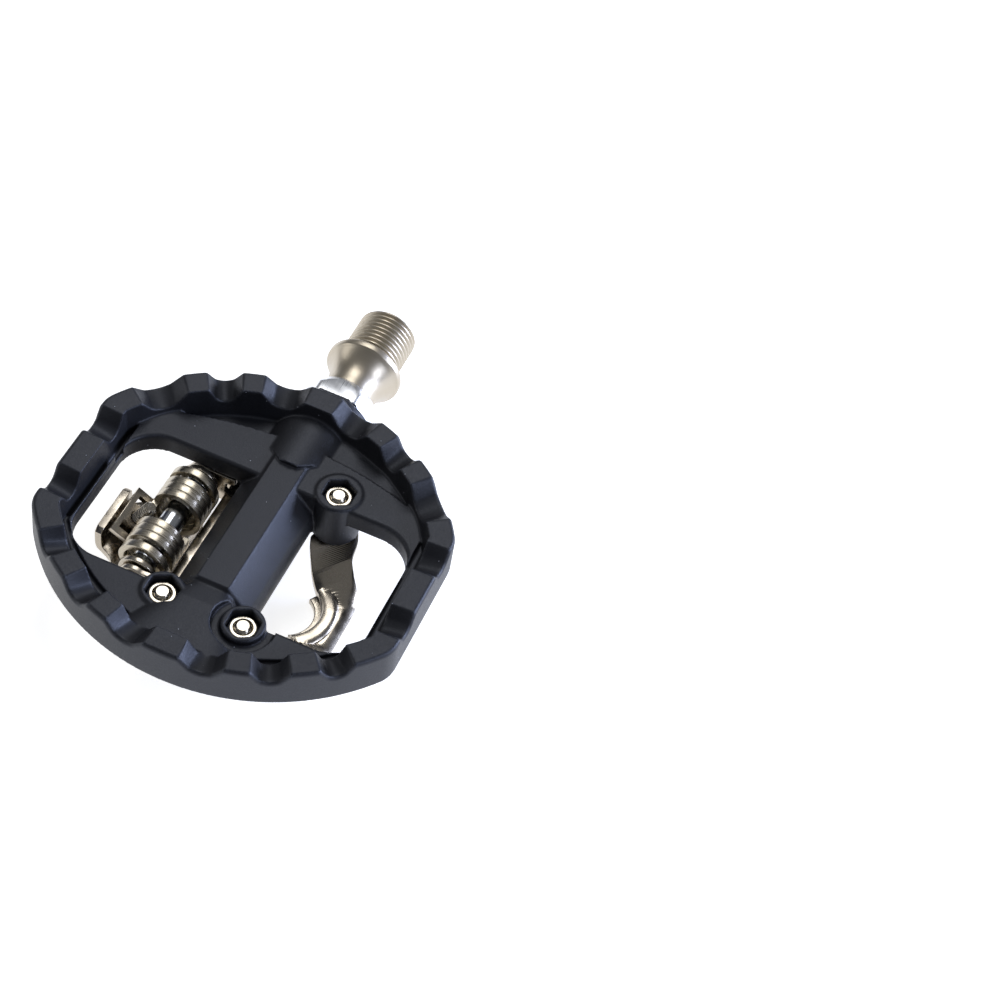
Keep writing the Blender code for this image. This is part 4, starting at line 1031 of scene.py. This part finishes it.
def pivot_pin(look, sleeve_look):
    """Headed hinge pin, its open retaining clip, and the sleeve that the coils sit on."""
    start, end = MECHANISM_X - 18.6, MECHANISM_X + 17.1
    profile = rounded(((start, 0), (start, PIN_R), (start + 0.7, PIN_R), (start + 0.7, PIN_R - 0.5),
                       (start + 1.5, PIN_R - 0.5), (start + 1.5, PIN_R), (end, PIN_R), (end, 2.9),
                       (end + 1.2, 2.9), (end + 1.2, 0)), 0.35)
    dress(shell("hinge_pin", along_pin(turned(profile, 64))), "pedal", look, ["pivot_pin"])
    clip_low = start + 0.8
    clip = rounded(((clip_low, PIN_R - 0.35), (clip_low, 3.3), (clip_low + 0.6, 3.3),
                    (clip_low + 0.6, PIN_R - 0.35)), 0.15)
    washer = shell("pin_retainer", along_pin(turned(clip, 64, False)))
    mouth = [(PIN_Y - 1.1, PIN_Z - 6), (PIN_Y + 1.1, PIN_Z - 6), (PIN_Y + 1.1, PIN_Z), (PIN_Y - 1.1, PIN_Z)]
    combine(washer, [shell("mouth", prism(mouth, clip_low - 1, clip_low + 2, axis="X"))], "DIFFERENCE")
    dress(washer, "pedal", look, ["pin_clip"])
    low, high, inner, outer = MECHANISM_X - 13.2, MECHANISM_X + 13.2, PIN_R + 0.25, 2.9
    sleeve = rounded(((low, inner), (low, outer), (high, outer), (high, inner)), 0.15)
    dress(shell("coil_sleeve", along_pin(turned(sleeve, 64, False))), "pedal", sleeve_look,
          ["spring_sleeve"])


def torsion_spring(name, hand, tree, look):
    """The coil starts beside the sleeve's middle and its last turn stands off at the ear."""
    wire_width, wire_depth = SPRING_WIRE
    turns = 4.25
    stand_off = 1.3
    sizes = {"Turns": turns, "Mean Radius": (SPRING_R - wire_depth / 2) * MM,
             "Length": (SPRING_LENGTH - wire_width - stand_off) * MM, "Stand Off": stand_off * MM,
             "Wire Width": (wire_width + 0.02) * MM, "Wire Depth": wire_depth * MM, "Edge Round": 0.17 * MM,
             "Count Per Turn": 48}
    coil = grown("coil_" + name, tree, sizes, look)
    start = MECHANISM_X + hand * (2.0 + wire_width / 2)
    turn = Matrix.Rotation(math.radians(100), 4, "X")
    if hand < 0:
        turn = Matrix.Rotation(math.pi, 4, "Z") @ turn
    coil.data.transform(Matrix.Translation((start * MM, PIN_Y * MM, PIN_Z * MM)) @ turn)
    dress(coil, "pedal", look, ["spring_" + name], smooth_angle=20)


def screw_place():
    """The release screw's own axis: X runs down it from the tip."""
    tip = Vector((MECHANISM_X, *SCREW_TIP))
    direction = Vector((0, -math.sin(SCREW_TILT), -math.cos(SCREW_TILT)))
    return Matrix.Translation(tip) @ direction.to_track_quat("X", "Z").to_matrix().to_4x4()


def rear_catch(look):
    """Bent plate: cleat lip, floor under the springs and an upright tail. A row of path is the
    outer face's y and z, half the width there, and how far the middle lies outboard."""
    path = ((-10.0, -11.6, 5.5, 0.0), (-13.2, -11.6, 8.0, 0.0), (-15.6, -10.6, 9.5, 0.0),
            (-17.2, -9.0, 13.0, 0.0), (-19.0, -8.2, 15.0, 0.0), (-24.0, -7.9, 15.0, 0.0),
            (-27.2, -7.9, 9.6, 0.6), (-30.2, -7.7, 7.4, 1.1), (-31.4, -6.9, 7.1, 1.3),
            (-31.9, -5.4, 7.1, 1.3), (-32.0, -1.9, 7.1, 1.3), (-32.0, -1.1, 6.7, 1.3),
            (-32.0, -0.6, 5.8, 1.3))
    line = smooth_path(path, 6)
    rows = []
    for i, (y, z, half_width, shift) in enumerate(line):
        before, after = line[max(i - 1, 0)], line[min(i + 1, len(line) - 1)]
        along = Vector((0, after[0] - before[0], after[1] - before[1])).normalized()
        out = Vector((0, along.z, -along.y))
        middle = MECHANISM_X + shift
        rows.append(((middle - half_width, y, z), (middle + half_width, y, z), -out))
    thickness = 1.7
    claw = shell("rear_claw", plate_from_rows(rows, thickness, 0.3))
    ear = arc((PIN_Y, PIN_Z), 4.4, 0, 180, 33) + [(-22.6, -2.0), (-24.0, -7.0), (-16.4, -7.4), (-14.2, -3.0)]
    ears = [shell("ear", prism(ear, x, x + 1.4, axis="X", edge=0.25))
            for x in (MECHANISM_X - 15.0, MECHANISM_X + 13.6)]
    combine(claw, ears, "UNION")
    slot = [(-34.5, -4.4), (-29, -4.4), (-29, -2.5), (-34.5, -2.5)]
    bore_r = SCREW_R + 0.43
    bore = move(turned(((8.3, 0), (8.3, bore_r), (19, bore_r), (19, 0)), 50), screw_place())
    for cutter in (shell("slot", prism(slot, MECHANISM_X - 0.6, MECHANISM_X + 1.6, axis="X")),
                   shell("bore", bore), pivot_cutter(PIN_R + 0.3)):
        combine(claw, [cutter], "DIFFERENCE")
    dress(claw, "rear_claw", look, ["rear_catch"])


def tension_screw(thread, look):
    """Socket head at the bottom, threaded shank up to the tip between the springs."""
    place = screw_place()
    length, pitch, key_flats = 13.6, 0.8, 2.5
    profile = rounded(((length - 1, 0), (length - 1, SCREW_R - 0.1), (length, SCREW_R - 0.1), (length, 2.6),
                       (length + 2.1, 2.6), (length + 2.1, 0)), 0.4)
    head = shell("release_screw", move(turned(profile, 48), place))
    sizes = {"Radius": SCREW_R * MM, "Depth": 0.28 * MM, "Pitch": pitch * MM, "Start": 0.0,
             "End": (length - 0.5) * MM, "Chamfer": 0.5 * MM, "Count Around": 49, "Count Along": 140}
    shank = grown("shank", thread, sizes, look)
    scaled = place.copy()
    scaled.translation *= MM
    shank.data.transform(scaled)
    combine(head, [shank], "UNION")
    key = move(prism(hexagon((0, 0), key_flats), length + 0.6, length + 4, axis="X"), place)
    combine(head, [shell("key", key)], "DIFFERENCE")
    dress(head, "screw", look, ["tension_screw"])


def tension_plate(look):
    """Flat plate square to the screw, with a window on either side of it."""
    along_screw, half_width, half_thickness, border = 7.3, 6.5, 0.7, 1.3
    place = screw_place() @ Matrix.Translation((along_screw, 0, 0))
    depth = (-1.9, 3.6)

    def slab(width_low, width_high, depth_low, depth_high, half, edge=0.0):
        outline = [(width_low, depth_low), (width_high, depth_low), (width_high, depth_high),
                   (width_low, depth_high)]
        return shell("slab", move(prism(outline, -half, half, axis="X", edge=edge), place))
    plate = slab(-half_width, half_width, *depth, half_thickness, 0.2)
    plate.name = "follower_plate"
    holes = [slab(*sorted((side * 2.6, side * 4.8)), depth[0] + border, depth[1] - border, 3)
             for side in (-1, 1)]
    bore_r = SCREW_R + 0.25
    bore = turned(((-8, 0), (-8, bore_r), (8, bore_r), (8, 0)), 48)
    combine(plate, holes + [shell("bore", move(bore, place))], "DIFFERENCE")
    dress(plate, "follower", look, ["tension_plate"])


# ---------------------------------------------------------------- build

casting = painted_casting()
turned_nickel = turned_steel()
anodised = milled_aluminium()
bright_nickel = plated_steel()
drawn_wire = spring_wire()
fastener = fastener_nickel()
ground_steel = bearing_steel()
bronze = bush_bronze()
rubber = seal_rubber()
thread_rule = thread_tree()
coil_rule = coil_tree()

pedal_body(casting)
spindle(thread_rule, turned_nickel)
axle_collar(anodised)
for place_name, bolt_end in (("front_inboard", BOLT_END), ("front_outboard", BOLT_END),
                             ("rear_outboard", BOLT_END), ("rear_inboard", WEB_TOP - 5)):
    binding_bolt(place_name, bolt_end, thread_rule, fastener)
for place_name in ("front_inboard", "front_outboard", "rear_outboard"):
    binding_nut(place_name, fastener)
front_catch(bright_nickel)
rear_bracket(bright_nickel)
pivot_pin(bright_nickel, ground_steel)
torsion_spring("outboard", 1, coil_rule, drawn_wire)
torsion_spring("inboard", -1, coil_rule, drawn_wire)
rear_catch(bright_nickel)
tension_screw(thread_rule, fastener)
tension_plate(bright_nickel)

for cad_node, look in (("bearing_outer", ground_steel), ("bearing_inner", ground_steel),
                       ("bearing_balls", ground_steel), ("spindle_washer", fastener),
                       ("spindle_nut", fastener), ("inboard_bush", bronze), ("collar_seal", rubber)):
    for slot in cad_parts[cad_node].material_slots:
        slot.material = look


# ---------------------------------------------------------------- studio

def studio_floor():
    """Backlit matte white table under the pedal."""
    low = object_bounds()[0]
    half_size, clearance, glow = 3.0, 0.0005, 0.76
    bm = bmesh.new()
    bmesh.ops.create_grid(bm, x_segments=1, y_segments=1, size=half_size)
    mesh = bpy.data.meshes.new("floor")
    bmesh.ops.translate(bm, verts=bm.verts, vec=(0, 0, low.z - clearance))
    bm.to_mesh(mesh)
    bm.free()
    floor = new_object("floor", mesh)
    made, _, shader, _ = begin("white_table", "#f4f5f7", 0.9, 0.0)
    shader.inputs["Emission Color"].default_value = linear("#ffffff")
    shader.inputs["Emission Strength"].default_value = glow
    mesh.materials.append(made)


def soft_light(name, place, power, width, height, colour="#ffffff"):
    """A rectangular lamp turned towards the middle of the cage."""
    data = bpy.data.lights.new(name, "AREA")
    data.shape = "RECTANGLE"
    data.size = width
    data.size_y = height
    data.energy = power
    data.color = linear(colour)[:3]
    lamp = bpy.data.objects.new(name, data)
    lamp.location = place
    lamp.rotation_mode = "QUATERNION"
    aim = Vector((BODY_X * MM, 0, 0)) - Vector(place)
    lamp.rotation_quaternion = aim.to_track_quat("-Z", "Y")
    bpy.context.scene.collection.objects.link(lamp)


studio_floor()
soft_light("overhead", (-0.35, -0.12, 0.66), 1.9, 0.4, 0.4)
soft_light("front_low", (-0.38, 0.62, 0.17), 6.5, 0.45, 0.26, "#cfdcff")
soft_light("front_high", (0.15, 0.7, 0.42), 2.4, 0.35, 0.3, "#dce6ff")
soft_light("rear_fill", (0.3, -0.7, 0.3), 0.9, 0.6, 0.3)

world = bpy.data.worlds.new("studio")
world.use_nodes = True
world.node_tree.nodes["Background"].inputs["Color"].default_value = linear("#f2f4f8")
world.node_tree.nodes["Background"].inputs["Strength"].default_value = 0.2
bpy.context.scene.world = world
bpy.context.scene.view_settings.view_transform = "Standard"

lens = bpy.data.cameras.new("camera")
lens.sensor_width = 36.0
lens.lens = 79.2
lens.clip_start = 0.01
lens.clip_end = 20.0
camera = bpy.data.objects.new("camera", lens)
RIGHT = Vector((-0.3801, 0.9152, 0.1340)).normalized()
BACK = Vector((0.6190, 0.1440, 0.7721)).normalized()
UP = BACK.cross(RIGHT).normalized()
RIGHT = UP.cross(BACK)
camera.matrix_world = (Matrix.Translation((0.32838, 0.11469, 0.38312))
                       @ Matrix((RIGHT, UP, BACK)).transposed().to_4x4())
bpy.context.scene.collection.objects.link(camera)
bpy.context.scene.camera = camera

bpy.context.view_layer.update()
